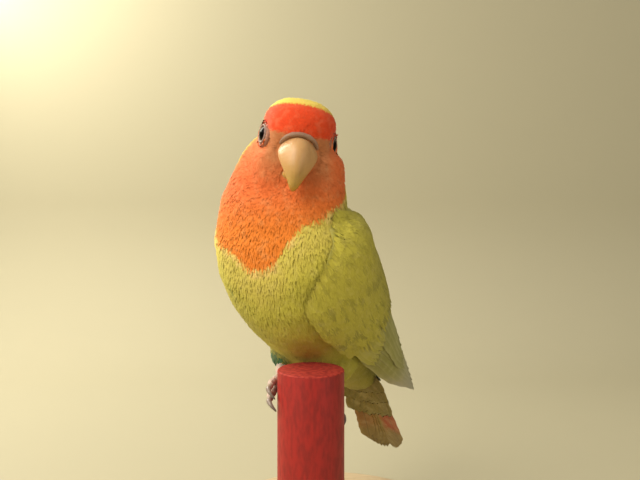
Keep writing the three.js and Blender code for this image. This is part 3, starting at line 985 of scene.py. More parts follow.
@dataclass(frozen=True)
class Markings:
    """Where each colour lies on the body. Degrees round the body by height, millimetres on the head."""

    # the height of the bib's edge at even steps round the body, from the right side to the left one
    bib_edge: Curve = Curve((40, 22, 6, -1, -5, -9, -9.2, -6.6, 1.2, 6, 9.5, 17, 32))
    bib_reach: float = 120  # degrees from the breast to the first and last of these
    brow: float = 1.9  # height of the forehead's lower edge over the line of the eyes
    crown_and_rim_light_edge: float = -4.4  # how far in front of the eyes the forehead ends on the midline
    crown_and_rim_light_bow: tuple[float, float] = (0.012, 0.0004)  # how it runs back on both sides
    ear: float = 5.5  # how far behind the eyes the peach cheeks end
    flank: tuple[float, float, float] = (-12, 8, -44)  # the middle of the dark green flank
    # the dark line that the folded right wing leaves along the flank, from above
    crease: tuple[tuple[float, float, float], ...] = (
        (-17, -11.7, -13.5),
        (-16.2, -9.4, -19.1),
        (-13.9, -8.6, -23.9),
        (-12.9, -5.3, -28.7),
        (-12.2, -0.8, -33.4),
    )
    crease_steps: int = 33

    def read(self, points: Array, jitter: Array) -> tuple[Array, Array, Array]:
        """Reads the markings.

        Args:
            points: Places in the model's frame, in metres.
            jitter: A random value for each, which roughens the borders.

        Returns:
            Forehead, face and lores with painted shade down the bill's sides, then the crown with its painted
            rim light, the olive of the back with painted shade low on the belly, and rump, then the shade,
            the yellow edging of the bib and the dark green flank, each as a share.
        """
        own = back_through(POSE.body, points)
        head = back_through(POSE.head, points)
        share, angle, _ = BODY_LINE.locate(points)
        rough = jitter * 0.9 + noise(own, 9, 4) * 0.9
        around = np.degrees(np.arctan2(own[:, 0], -own[:, 1]))
        edge = self.bib_edge((around + self.bib_reach) / (2 * self.bib_reach))
        over_edge = own[:, 2] - edge + rough
        bib = smoothstep(-0.8, 1.4, over_edge)
        edging = smoothstep(-3.4, -0.4, over_edge) * (1 - bib)
        edging *= smoothstep(0.05, 0.5, noise(own, 14, 6) + 0.55) * (own[:, 2] < 14)
        glow = 0.3 * smoothstep(-16, -3, over_edge) * (1 - bib) * smoothstep(110, 70, np.abs(around))
        edging = np.maximum(edging, glow * (own[:, 2] < 14))
        over_brow = head[:, 2] - self.brow + jitter * 0.3
        bow = self.crown_and_rim_light_bow[0] * head[:, 0] ** 2 + self.crown_and_rim_light_bow[1] * head[:, 0] ** 4
        behind = head[:, 1] - self.crown_and_rim_light_edge - bow + jitter * 0.4
        on_head = smoothstep(-16, -8, head[:, 2])
        red = smoothstep(-0.3, 0.5, over_brow) * smoothstep(-0.7, 0.7, -behind) * (head[:, 2] > -3)
        cheek = smoothstep(-1.8, 1.8, self.ear - head[:, 1] + rough - 0.3 * np.minimum(head[:, 2], 0))
        face = bib * lerp(1.0, cheek, on_head) * (1 - smoothstep(0.2, 1.4, over_brow) * (head[:, 2] > -3))
        # Painted rim light: a bright yellow band over the crown just behind the red forehead, over its own
        # yellow-green
        crown_and_rim_light = smoothstep(-1.0, 1.0, over_brow) * (1 - red) * (1 - 0.8 * smoothstep(1.5, 9, behind))
        crown_and_rim_light *= smoothstep(8, 20, own[:, 2])
        # The tan-orange lores round the bill's root; lower down, along the bill's sides, the same colour is
        # painted shade
        beside_bill = np.hypot(head[:, 0] * 0.85, (head[:, 1] + 9.5) * 0.6)
        beside_bill += 0.3 * np.minimum(head[:, 2] + 5, 0)
        lores_and_bill_shade = 1 - smoothstep(7, 11.5, np.abs(beside_bill) + rough * 0.5)
        lores_and_bill_shade *= 1 - smoothstep(-0.2, 0.8, over_brow)
        lores_and_bill_shade *= smoothstep(-17, -4, head[:, 2]) * 0.9
        dorsal = smoothstep(65, 130, np.abs(angle)) * smoothstep(0.22, 0.5, share)
        rump = smoothstep(95, 140, np.abs(angle)) * smoothstep(0.72, 0.84, share)
        mottle = noise(own, 16, 9) * 0.08
        # Painted shade: more olive the lower the belly lies
        painted_belly_shade = smoothstep(4, -32, own[:, 2])
        nape = smoothstep(3, 16, head[:, 1]) * (1 - smoothstep(0.22, 0.5, share))
        # the olive of back, nape and tail end, with the painted belly shade and random mottling
        olive = dorsal * 0.8 + nape * 0.4 + smoothstep(0.6, 0.85, share) * 0.4 + painted_belly_shade * 0.36 + mottle
        olive = np.clip(olive, 0, 1)
        flank = 1 - smoothstep(4, 7.5, np.linalg.norm(own - self.flank, axis=1) + rough)
        shares = np.linspace(0, 1, self.crease_steps)
        line = np.stack([Curve(values)(shares) for values in zip(*self.crease)], -1)
        from_crease = np.min([np.linalg.norm(own - spot, axis=1) for spot in line], axis=0)
        flank = np.maximum(flank, 0.5 * (1 - smoothstep(0.5, 1.5, from_crease + jitter * 0.3)))
        marks = np.stack([red, face, lores_and_bill_shade], -1)
        tone = np.stack([crown_and_rim_light * (1 - face), olive, rump * 0.75], -1)
        shade = np.stack([np.clip(jitter * 0.5 + 0.5, 0, 1), edging, flank], -1)
        return marks, tone, shade

    def read_wing(self, points: Array, jitter: Array) -> tuple[Array, Array, Array]:
        """Reads the colours of the small feathers on a wing.

        Args:
            points: Places in the model's frame, in metres.
            jitter: A random value for each.

        Returns:
            The same as read gives.
        """
        own = back_through(POSE.body, points)
        down = smoothstep(5, -40, own[:, 2])
        mottle = smoothstep(0.1, 0.8, noise(own, 6, 21) + 0.4 * jitter)
        _, angle, _ = BODY_LINE.locate(points)
        behind = smoothstep(70, 125, np.abs(angle))
        olive = np.clip(0.06 + 0.34 * down + 0.4 * mottle * (0.4 + 0.6 * down) + 0.45 * behind, 0, 1)
        zero = olive * 0
        shade = np.stack([np.clip(jitter * 0.5 + 0.5, 0, 1), zero, zero], -1)
        return np.stack([zero, zero, zero], -1), np.stack([zero, olive, zero], -1), shade


MARKINGS = Markings()


CROWDING = 3  # roots drawn for each square of the spacing, before the crowded ones go
GRID_SHIFT = 0.37  # share of a cell that keeps the cells' borders off the model's planes


@dataclass
class Ground:
    """A surface on which feathers grow."""

    places: Array
    normals: Array
    faces: Array
    tree: BVHTree

    @classmethod
    def of(cls, mesh: bpy.types.Mesh) -> "Ground":
        """Reads a mesh of triangles.

        Args:
            mesh: The mesh.

        Returns:
            The ground.
        """
        places, normals = places_of(mesh)
        faces = np.empty(len(mesh.polygons) * 3, np.int32)
        mesh.polygons.foreach_get("vertices", faces)
        faces = faces.reshape(-1, 3)
        return cls(places, normals, faces, BVHTree.FromPolygons(places.tolist(), faces.tolist()))

    def scatter(self, spacing: float, seed: int) -> tuple[Array, Array]:
        """Spreads roots evenly over the surface.

        Args:
            spacing: The least distance between roots, in metres.
            seed: The seed of the random draw.

        Returns:
            The roots' places and normals.
        """
        rng = np.random.default_rng(seed)
        a, b, c = (self.places[self.faces[:, k]] for k in range(3))
        areas = np.linalg.norm(np.cross(b - a, c - a), axis=1) / 2
        count = int(areas.sum() / spacing**2 * CROWDING)
        chosen = rng.choice(len(areas), count, p=areas / areas.sum())
        u, v = rng.random((2, count))
        over = u + v > 1
        u[over], v[over] = 1 - u[over], 1 - v[over]
        weights = np.stack([1 - u - v, u, v], -1)[..., None]
        corners = self.faces[chosen]
        roots = (self.places[corners] * weights).sum(1)
        ways = unit((self.normals[corners] * weights).sum(1))
        _, first = np.unique(np.floor(roots / spacing + GRID_SHIFT).astype(int), axis=0, return_index=True)
        kept = np.sort(first)
        return roots[kept], ways[kept]

    def lay_on(self, points: Array) -> tuple[Array, Array]:
        """The nearest places on the surface to some points, and its normals there."""
        found = [self.tree.find_nearest(Vector(point)) for point in points]
        return np.array([hit[0] for hit in found]), np.array([hit[1] for hit in found])


def set_markings(mesh: bpy.types.Mesh, read: Sequence[Array], times: int = 1) -> None:
    """Stores what the markings say as colour attributes.

    Args:
        mesh: The mesh.
        read: The three triples of shares that the markings' read methods give.
        times: How many corners in a row share each value.
    """
    for label, values in zip(("marks", "tone", "shade"), read):
        set_color(mesh, label, np.repeat(values, times, axis=0))


@dataclass
class Body:
    """The bird's skin: head, neck, torso and thighs in one closed surface under the coat."""

    nodes: tuple[str, ...] = ("head", "neck", "torso", "thigh_left", "thigh_right")
    voxel: float = 0.75 * MM
    swell: float = 0.25 * MM  # closes the thin cuts between the nodes before they are fused
    smoothing: int = 14
    coat_depths: tuple[float, float] = (0.7 * MM, 1.35 * MM)  # on the face and on the body
    face_reach: tuple[float, float] = (6, 34)  # millimetres from the face in which these change over
    eye_reach: tuple[float, float] = (4.8, 12)  # the same, from an eye, near which it is the body's

    def build(self) -> Ground:
        """Makes the skin.

        Returns:
            The surface on which the coat grows.
        """
        shape = bmesh.new()
        for node in self.nodes:
            shape.from_mesh(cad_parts[node].data)
        bmesh.ops.remove_doubles(shape, verts=shape.verts, dist=1e-6)
        skin = as_object("skin", shape, Plumage().material("plumage_skin"))
        self._move_out(skin.data, self.swell)
        remesh(skin, self.voxel, self.smoothing)
        places, _ = places_of(skin.data)
        depth = lerp(*self.coat_depths, smoothstep(*self.face_reach, from_face(places)))
        eyes = [sum(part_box(f"eye_{side.word}"), Vector()) / 2 for side in Side]
        from_eye = np.min([np.linalg.norm(places - np.array(eye), axis=1) for eye in eyes], axis=0) / MM
        depth = np.maximum(depth, self.coat_depths[1] * (1 - smoothstep(*self.eye_reach, from_eye)))
        self._move_out(skin.data, -self.swell - depth[:, None])
        fused = bmesh.new()
        fused.from_mesh(skin.data)
        keep_largest(fused)
        bmesh.ops.triangulate(fused, faces=fused.faces)
        fused.to_mesh(skin.data)
        fused.free()
        ground = Ground.of(skin.data)
        set_markings(skin.data, MARKINGS.read(ground.places, np.zeros(len(ground.places))))
        set_uv(skin.data, "vane", np.full((len(ground.places), 2), 0.5))
        settle(skin, "lime_plumage", *self.nodes)
        return ground

    @staticmethod
    def _move_out(mesh: bpy.types.Mesh, distance: float | Array) -> None:
        """Moves each corner along its normal.

        Args:
            mesh: The mesh.
            distance: How far, in metres, for all or for each.
        """
        places, normals = places_of(mesh)
        mesh.vertices.foreach_set("co", (places + normals * distance).astype(np.float32).ravel())
        mesh.update()


# Small feathers


@dataclass
class Roots:
    """Places where feathers grow, and each one's direction, length, width and height. Metres."""

    places: Array
    normals: Array
    ways: Array
    lengths: Array
    widths: Array
    lifts: Array
    jitter: Array

    def where(self, kept: Array) -> "Roots":
        """Only the roots that a mask or an order keeps."""
        return Roots(*(getattr(self, name)[kept] for name in self.__dataclass_fields__))

    @classmethod
    def grow(
        cls, ground: Ground, spacing: float, seed: int, flow: Callable, size: Callable, stray: float
    ) -> "Roots":
        """Spreads roots over a surface.

        Args:
            ground: The surface.
            spacing: The distance between roots, in metres.
            seed: The seed of the random draw.
            flow: Gives the feathers' directions from places and normals.
            size: Gives length, width and lift in millimetres from places.
            stray: How far the feathers stray from the flow.

        Returns:
            The roots.
        """
        rng = np.random.default_rng(seed)
        places, normals = ground.scatter(spacing, seed)
        ways = flow(places, normals)
        ways = unit(ways + np.cross(normals, ways) * rng.normal(0, stray, (len(places), 1)))
        sizes = (values * MM * rng.uniform(0.8, 1.2, len(places)) for values in size(places))
        return cls(places, normals, ways, *sizes, rng.uniform(-1, 1, len(places)))


PATCH = 0.003  # size of one feather's patch on the unwrapped skin


@dataclass(frozen=True)
class Tuft:
    """The pattern of one small feather: a thin, ridged, closed leaf with stations between root and tip."""

    shares: tuple[float, ...]
    widths: tuple[float, ...]
    heights: tuple[float, ...]
    ridge: float
    limit: int  # feathers in one object

    @property
    def corners(self) -> int:
        """How many corners one tuft has."""
        return 3 * len(self.shares) + 2

    def faces(self) -> Array:
        """The triangles of one tuft, the root being its first corner and the tip its last.

        Returns:
            Three corners for each triangle.
        """
        made = []
        end = self.corners - 1
        for k in range(3):
            n = (k + 1) % 3
            made.append((0, 1 + n, 1 + k))
            for ring in range(len(self.shares) - 1):
                a, b = 1 + 3 * ring, 4 + 3 * ring
                made.append((a + k, a + n, b + n))
                made.append((a + k, b + n, b + k))
            made.append((end - 3 + k, end - 3 + n, end))
        return np.array(made)

    def build(
        self, name: str, roots: Roots, ground: Ground, read: Callable, finish: bpy.types.Material
    ) -> None:
        """Makes objects of limited size with many tufts that lie on a surface.

        Args:
            name: The start of the objects' names.
            roots: Where the tufts grow, which way they lie and how large they are.
            ground: The surface.
            read: Reads the markings at places.
            finish: The material.
        """
        order = np.argsort(roots.places[:, 2])
        for number, start in enumerate(range(0, len(order), self.limit), 1):
            part = roots.where(order[start : start + self.limit])
            settle(self._piece(f"{name}_{number}", part, ground, read, finish), "lime_plumage")

    def _piece(
        self, name: str, roots: Roots, ground: Ground, read: Callable, finish: bpy.types.Material
    ) -> bpy.types.Object:
        """Makes one object of tufts.

        Args:
            name: The object's name.
            roots: Where its tufts grow.
            ground: The surface.
            read: Reads the markings at places.
            finish: The material.

        Returns:
            The object.
        """
        count, each = len(roots.places), self.corners
        line, normals = [roots.places], [roots.normals]
        for share in (*self.shares, 1.0):
            at, normal = ground.lay_on(roots.places + roots.ways * (roots.lengths * share)[:, None])
            line.append(at)
            normals.append(unit(normal * 0.5 + roots.normals * 0.5))
        corners = np.empty((count, each, 3))
        smooth = np.empty((count, each, 3))
        for k, (at, normal) in enumerate(zip(line, normals)):
            middle = at + normal * (roots.lifts * self.heights[k])[:, None]
            if k in (0, len(line) - 1):
                corners[:, -1 if k else 0] = middle
                smooth[:, -1 if k else 0] = normal
                continue
            half = unit(np.cross(normal, roots.ways)) * (roots.widths * self.widths[k - 1] / 2)[:, None]
            ridge = normal * (roots.widths * self.ridge)[:, None]
            for n, spot in enumerate((middle - half, middle + half, middle + ridge)):
                corners[:, 3 * k - 2 + n] = spot
                smooth[:, 3 * k - 2 + n] = normal
        faces = (self.faces()[None] + each * np.arange(count)[:, None, None]).reshape(-1, 3)
        mesh = bpy.data.meshes.new(name)
        mesh.vertices.add(count * each)
        mesh.vertices.foreach_set("co", corners.astype(np.float32).ravel())
        mesh.loops.add(faces.size)
        mesh.loops.foreach_set("vertex_index", faces.astype(np.int32).ravel())
        mesh.polygons.add(len(faces))
        mesh.polygons.foreach_set("loop_start", np.arange(0, faces.size, 3, dtype=np.int32))
        mesh.update(calc_edges=True)
        made = as_object(name, mesh, finish)
        seen = roots.places + roots.ways * (roots.lengths * 0.6)[:, None]
        set_markings(mesh, read(seen, roots.jitter), each)
        along = np.array([0, *np.repeat(self.shares, 3), 1])
        across = np.array([0.5, *(0, 1, 0.5) * len(self.shares), 0.5])
        own = np.tile(np.stack([across, along], -1), (count, 1))
        set_uv(mesh, "OFBake", np.repeat(unwrap(roots.places), each, axis=0) + (own - 0.5) * PATCH)
        set_uv(mesh, "vane", own)
        mesh.normals_split_custom_set_from_vertices(smooth.reshape(-1, 3).astype(np.float32))
        return made


LEAF = Tuft((0.3, 0.68, 0.92), (0.75, 1.0, 0.62), (-0.25, 0.2, 0.5, 0.72, 0.8), 0.12, 10500)
BARB = Tuft((0.35, 0.75), (1.0, 0.8), (-0.2, 0.4, 0.85, 1.1), 0.3, 16000)


def unwrap(points: Array) -> Array:
    """Where points lie on the skin unrolled round the body's line, from 0 to 1 both ways."""
    share, angle, _ = BODY_LINE.locate(points)
    return np.stack([0.02 + 0.96 * (angle + 180) / 360, 0.02 + 0.96 * share], -1)


@dataclass(frozen=True)
class Layer:
    """One layer of the coat: its tufts, their spacing in metres, their slenderness and their stray."""

    tuft: Tuft
    label: str
    face_spacing: float
    body_spacing: float
    slender: float
    stray: float


@dataclass
class Coat:
    """The small feathers over the skin: broad leaves below, fine barbs between and over them."""

    ground: Ground
    bare: Sequence[bpy.types.Object]
    cover: Sequence[bpy.types.Object]
    perch: tuple[Vector, Vector]
    face_middle: tuple[float, float, float] = (0, -3, -4)
    face_radius: float = 19  # millimetres round that place in which the feathers are smallest
    bill_root: tuple[float, float, float] = (0, -12.5, 0.5)  # the face's feathers point away from here
    lift: float = 0.4  # millimetres over the skin at which a root's surroundings are judged
    bare_gap: float = 0.8 * MM  # distance kept from the bare parts
    cover_reach: float = 9 * MM  # how far out a wing still buries a feather
    perch_gap: float = 0.5 * MM
    layers: tuple[Layer, ...] = (
        Layer(LEAF, "leaves", 0.66 * MM, 1.0 * MM, 1.0, 0.12),
        Layer(BARB, "barbs", 0.42 * MM, 0.52 * MM, 0.3, 0.24),
    )

    def flow(self, places: Array, normals: Array) -> Array:
        """The way the feathers lie at some places: away from the bill on the head, then tailwards.

        Args:
            places: The places.
            normals: The skin's normals there.

        Returns:
            One direction for each place.
        """
        _, _, way = BODY_LINE.locate(places)
        head = back_through(POSE.head, places)
        from_bill = unit(head - self.bill_root)
        turn = np.array(POSE.head)[:3, :3]
        on_head = 1 - smoothstep(15, 25, np.linalg.norm(head - (0, 0, -2), axis=1))
        way = lerp(way, from_bill @ turn.T, on_head[:, None])
        way -= normals * (way * normals).sum(1, keepdims=True)
        return unit(way)

    @staticmethod
    def size(places: Array, slender: float) -> tuple[Array, Array, Array]:
        """The feathers' length, width and lift in millimetres at some places.

        Args:
            places: The places.
            slender: The share of the full width.

        Returns:
            One of each for every place.
        """
        below = -back_through(POSE.body, places)[:, 2]
        grown = smoothstep(5, 34, from_face(places)) + 0.35 * smoothstep(0, 55, below)
        width = lerp(1.0, 2.2, grown) * slender
        return lerp(1.7, 4.8, grown), width, lerp(0.6, 1.25, np.clip(grown, 0, 1))

    def allowed(self, roots: Roots) -> Array:
        """Which roots are clear of the bare parts and the perch, and not buried under a wing.

        Args:
            roots: The roots.

        Returns:
            True for each root that is kept.
        """
        bare = [tree_of(piece) for piece in self.bare]
        cover = [tree_of(piece) for piece in self.cover]
        kept = np.ones(len(roots.places), bool)
        reach = roots.places + roots.normals * self.lift * MM
        for i, (place, normal) in enumerate(zip(reach, roots.normals)):
            at, out = Vector(place), Vector(normal)
            kept[i] = not (
                any(tree.find_nearest(at, self.bare_gap)[0] is not None for tree in bare)
                or any(tree.ray_cast(at, out, self.cover_reach)[0] is not None for tree in cover)
            )
        low, high = self.perch
        middle = np.array((low + high) / 2)
        radius = (high.x - low.x) / 2
        for ends in (roots.places, roots.places + roots.ways * roots.lengths[:, None]):
            away = np.hypot(*(ends[:, :2] - middle[:2]).T)
            kept &= (away > radius + self.perch_gap) | (ends[:, 2] > high.z + self.perch_gap)
        return kept

    def build(self) -> None:
        """Makes both layers, closer and smaller on the face than on the body."""
        finish = Plumage().material("plumage_coat")
        for layer in self.layers:

            def sizes(places: Array) -> tuple[Array, Array, Array]:
                """Feathers as slender as this layer's."""
                return self.size(places, layer.slender)

            for part, spacing in (("face", layer.face_spacing), ("body", layer.body_spacing)):
                seed = len(layer.label + part)
                roots = Roots.grow(self.ground, spacing, seed, self.flow, sizes, layer.stray)
                away = np.linalg.norm(back_through(POSE.head, roots.places) - self.face_middle, axis=1)
                near = away < self.face_radius
                far = away > self.face_radius - 1  # a narrow seam belongs to both
                roots = roots.where(near if part == "face" else far)
                roots = roots.where(self.allowed(roots))
                layer.tuft.build(f"coat_{part}_{layer.label}", roots, self.ground, MARKINGS.read, finish)


def tree_of(piece: bpy.types.Object) -> BVHTree:
    """A tree for finding the nearest place on an object.

    Args:
        piece: The object.

    Returns:
        The tree.
    """
    shape = bmesh.new()
    shape.from_mesh(piece.data)
    tree = BVHTree.FromBMesh(shape)
    shape.free()
    return tree


# Vanes of wings and tail


@dataclass(frozen=True)
class Vane:
    """One flat feather. Its ends are a distance along and a place across the surface that it lies on."""

    start: tuple[float, float]
    end: tuple[float, float]
    width: float
    rise: tuple[float, float]
    tilt: float = 0.5
    point: float = 0.72
    shade: float = 0.5
    length: float = 0.0
    band: float = 0.0


FRAY_SEED = 17  # the seed of the first vane's frayed edge


@dataclass
class VaneSheet:
    """Many vanes of one pattern as one mesh. Each vane is a closed thin plate, split alike on both faces."""

    rows: int
    columns: int
    thick: float = 0.32
    camber: float = 0.35

    def build(
        self, name: str, vanes: Sequence[Vane], surface: Any, finish: bpy.types.Material
    ) -> bpy.types.Object:
        """Makes one object of the vanes.

        Args:
            name: The object's name.
            vanes: The vanes.
            surface: What they lie on: its place method takes distances along, places across, offsets
                across in millimetres and heights.
            finish: The material.

        Returns:
            The object.
        """
        rows, columns = self.rows + 1, self.columns + 1
        ticks = np.linspace(0, 1, rows), np.linspace(-1, 1, columns), (-1.0, 1.0)
        r, c, f = (grid.ravel() for grid in np.meshgrid(*ticks, indexing="ij"))
        corners, shades, maps, bakes = [], [], [], []
        per_row = max(1, math.ceil(math.sqrt(len(vanes))))
        for number, vane in enumerate(vanes):
            rng = np.random.default_rng(number + FRAY_SEED)
            fray = 1 + 0.05 * np.sin(r * rng.uniform(30, 46) + rng.uniform(0, 6)) * (r > 0.25)
            half = 0.5 * vane.width * self.outline(r, vane.point) * fray
            reach = r * (1 - 0.045 * c * c * (r > 0.7))
            along = lerp(vane.start[0], vane.end[0], reach)
            across = lerp(vane.start[1], vane.end[1], reach)
            body = self.camber * (1 - c * c) * np.sin(math.pi * np.clip(r, 0.05, 1) ** 0.8)
            height = lerp(vane.rise[0], vane.rise[1], r) + vane.tilt * c + body
            height += f * self.thick / 2 * (1 - 0.6 * np.abs(c) ** 3)
            corners.append(surface.place(along, across, c * half, height))
            shades.append(np.tile((vane.shade, vane.length, vane.band), (len(r), 1)))
            own = np.stack([c * 0.5 + 0.5, r], -1)
            maps.append(own)
            cell = np.array(divmod(number, per_row), float)
            bakes.append((cell + 0.1 + 0.8 * own) / (per_row + 0.001))
        mesh = bpy.data.meshes.new(name)
        quads = self._quads()
        per_vane = len(r)
        faces = (quads[None] + per_vane * np.arange(len(vanes))[:, None, None]).reshape(-1, 4)
        mesh.from_pydata(np.concatenate(corners).tolist(), [], faces.tolist())
        shape = bmesh.new()
        shape.from_mesh(mesh)
        bmesh.ops.recalc_face_normals(shape, faces=shape.faces)
        shape.to_mesh(mesh)
        shape.free()
        made = as_object(name, mesh, finish)
        mesh.set_sharp_from_angle(angle=math.radians(40))
        set_color(mesh, "shade", np.concatenate(shades))
        set_uv(mesh, "OFBake", np.concatenate(bakes))
        set_uv(mesh, "vane", np.concatenate(maps))
        return made

    @staticmethod
    def outline(run: Array, point: float) -> Array:
        """A vane's width along it: narrow at the root, full beyond it, and round at the tip.

        Args:
            run: Shares of the length.
            point: The share at which the tip begins.

        Returns:
            The share of the full width at each.
        """
        opened = 0.5 + 0.5 * np.minimum(1, run / 0.32)
        tip = np.sqrt(np.clip(1 - (np.maximum(run - point, 0) / (1.001 - point)) ** 2, 0, 1))
        return opened * np.maximum(tip, 0.06)

    def _quads(self) -> Array:
        """The faces of one closed plate.

        Returns:
            Four corners for each face.
        """
        columns = self.columns + 1

        def at(i: int, j: int, face: int) -> int:
            """The number of a corner."""
            return (i * columns + j) * 2 + face

        made = []
        for i in range(self.rows):
            for j in range(self.columns):
                made.append((at(i, j, 1), at(i + 1, j, 1), at(i + 1, j + 1, 1), at(i, j + 1, 1)))
                made.append((at(i, j, 0), at(i, j + 1, 0), at(i + 1, j + 1, 0), at(i + 1, j, 0)))
            last = self.columns
            made.append((at(i, 0, 0), at(i + 1, 0, 0), at(i + 1, 0, 1), at(i, 0, 1)))
            made.append((at(i, last, 1), at(i + 1, last, 1), at(i + 1, last, 0), at(i, last, 0)))
        for j in range(self.columns):
            last = self.rows
            made.append((at(0, j, 1), at(0, j + 1, 1), at(0, j + 1, 0), at(0, j, 0)))
            made.append((at(last, j, 0), at(last, j + 1, 0), at(last, j + 1, 1), at(last, j, 1)))
        return np.array(made)


@dataclass
class WingSurface:
    """The surface of a folded wing: a distance along it from the bend, and an angle round the body."""

    side: Side
    length: float = 104
    start: tuple[float, float, float] = (0, -6, 8)
    way: tuple[float, float, float] = (0, 0.714, -0.7)
    out: tuple[float, float, float] = (0, 0.7, 0.714)
    middle: Curve = Curve((3, 2, -1, -3, -4.5, -4.5, -4, -2, 0))
    wide: Curve = Curve((20, 24, 26, 26.5, 26, 25.5, 25, 24, 23))
    deep: Curve = Curve((18, 22, 24, 23.5, 21.5, 19, 16, 13, 11))
    thick: Curve = Curve((0.4, 1.1, 1.4, 1.4, 1.3, 1.2, 1, 0.9, 0.8))
    clear: float = 0.5
    upper: Curve = Curve((90, 58, 42, 36, 36, 40, 50, 64, 80))
    lower_left: Curve = Curve((100, 146, 146, 139.5, 133, 127, 120, 107, 95))
    lower_right: Curve = Curve((84, 90, 94, 104, 114, 118, 114, 106, 95))
    run_step: float = 2.0
    turn_step: float = 5.0
    lead: float = 4  # how far the grid begins in front of the bend
    slack: float = 0.02  # how much a place may fall short of its height over the torso
    pushes: int = 8
    spots: Array = field(default_factory=lambda: np.empty(0))
    outward: Array = field(default_factory=lambda: np.empty(0))

    def prepare(self) -> "WingSurface":
        """Lays a grid of the surface over the torso, pushed out where it would sink in.

        Returns:
            The surface itself.
        """
        tree = tree_of(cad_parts["torso"])
        way, out = unit(np.array(self.way)), unit(np.array(self.out))
        runs = np.arange(-self.lead, self.length + 2 * self.lead, self.run_step)
        turns = np.radians(np.arange(0, 200, self.turn_step))
        run, turn = (grid.ravel() for grid in np.meshgrid(runs, turns, indexing="ij"))
        share = run / self.length
        left = np.array((1.0, 0.0, 0.0))
        round_way = out * (np.cos(turn) / self.deep(share))[:, None]
        round_way = unit(round_way + left * (np.sin(turn) / self.wide(share))[:, None])
        at = np.array(self.start) + way * run[:, None]
        at = at + out * (self.middle(share) + self.deep(share) * np.cos(turn))[:, None]
        at = at + left * (self.wide(share) * np.sin(turn))[:, None]
        flip = np.array((self.side.value, 1, 1), float)
        need = self.clear + self.thick(share)
        for index in range(len(at)):
            spot = at[index]
            for _ in range(self.pushes):
                place = Vector(through(POSE.body, spot * flip))
                near, normal, _, away = tree.find_nearest(place)
                gap = away / MM if (place - near).dot(normal) > 0 else -away / MM
                if gap >= need[index] - self.slack:
                    break
                spot = spot + round_way[index] * (need[index] - gap)
            at[index] = spot
        shape = (len(runs), len(turns), 3)
        self.spots = at.reshape(shape)
        self.outward = round_way.reshape(shape)
        return self

    def edges(self, run: Array) -> tuple[Array, Array]:
        """The angles of the edge on the back and of the leading edge."""
        lower = self.lower_left if self.side is Side.LEFT else self.lower_right
        return self.upper(run / self.length), lower(run / self.length)

    def place(self, run: Array, share: Array, offset: Array, height: Array) -> Array:
        """Places on the wing.

        Args:
            run: Distance along the wing in millimetres.
            share: Place across it, 0 on the back's edge and 1 on the leading edge.
            offset: A further step across in millimetres.
            height: Height over the surface in millimetres.

        Returns:
            The places in the model's frame, in metres.
        """
        upper, lower = self.edges(run)
        t = run / self.length
        angle = lerp(upper, lower, share) + np.degrees(offset * 2 / (self.wide(t) + self.deep(t)))
        i = np.clip((run + self.lead) / self.run_step, 0, self.spots.shape[0] - 1.001)
        j = np.clip(angle / self.turn_step, 0, self.spots.shape[1] - 1.001)
        i0, j0 = i.astype(int), j.astype(int)
        u, v = (i - i0)[:, None], (j - j0)[:, None]

        def read(grid: Array) -> Array:
            """Reads a grid between its corners."""
            top = lerp(grid[i0, j0], grid[i0, j0 + 1], v)
            return lerp(top, lerp(grid[i0 + 1, j0], grid[i0 + 1, j0 + 1], v), u)

        at = read(self.spots) + unit(read(self.outward)) * height[:, None]
        return through(POSE.body, at * np.array((self.side.value, 1, 1), float))


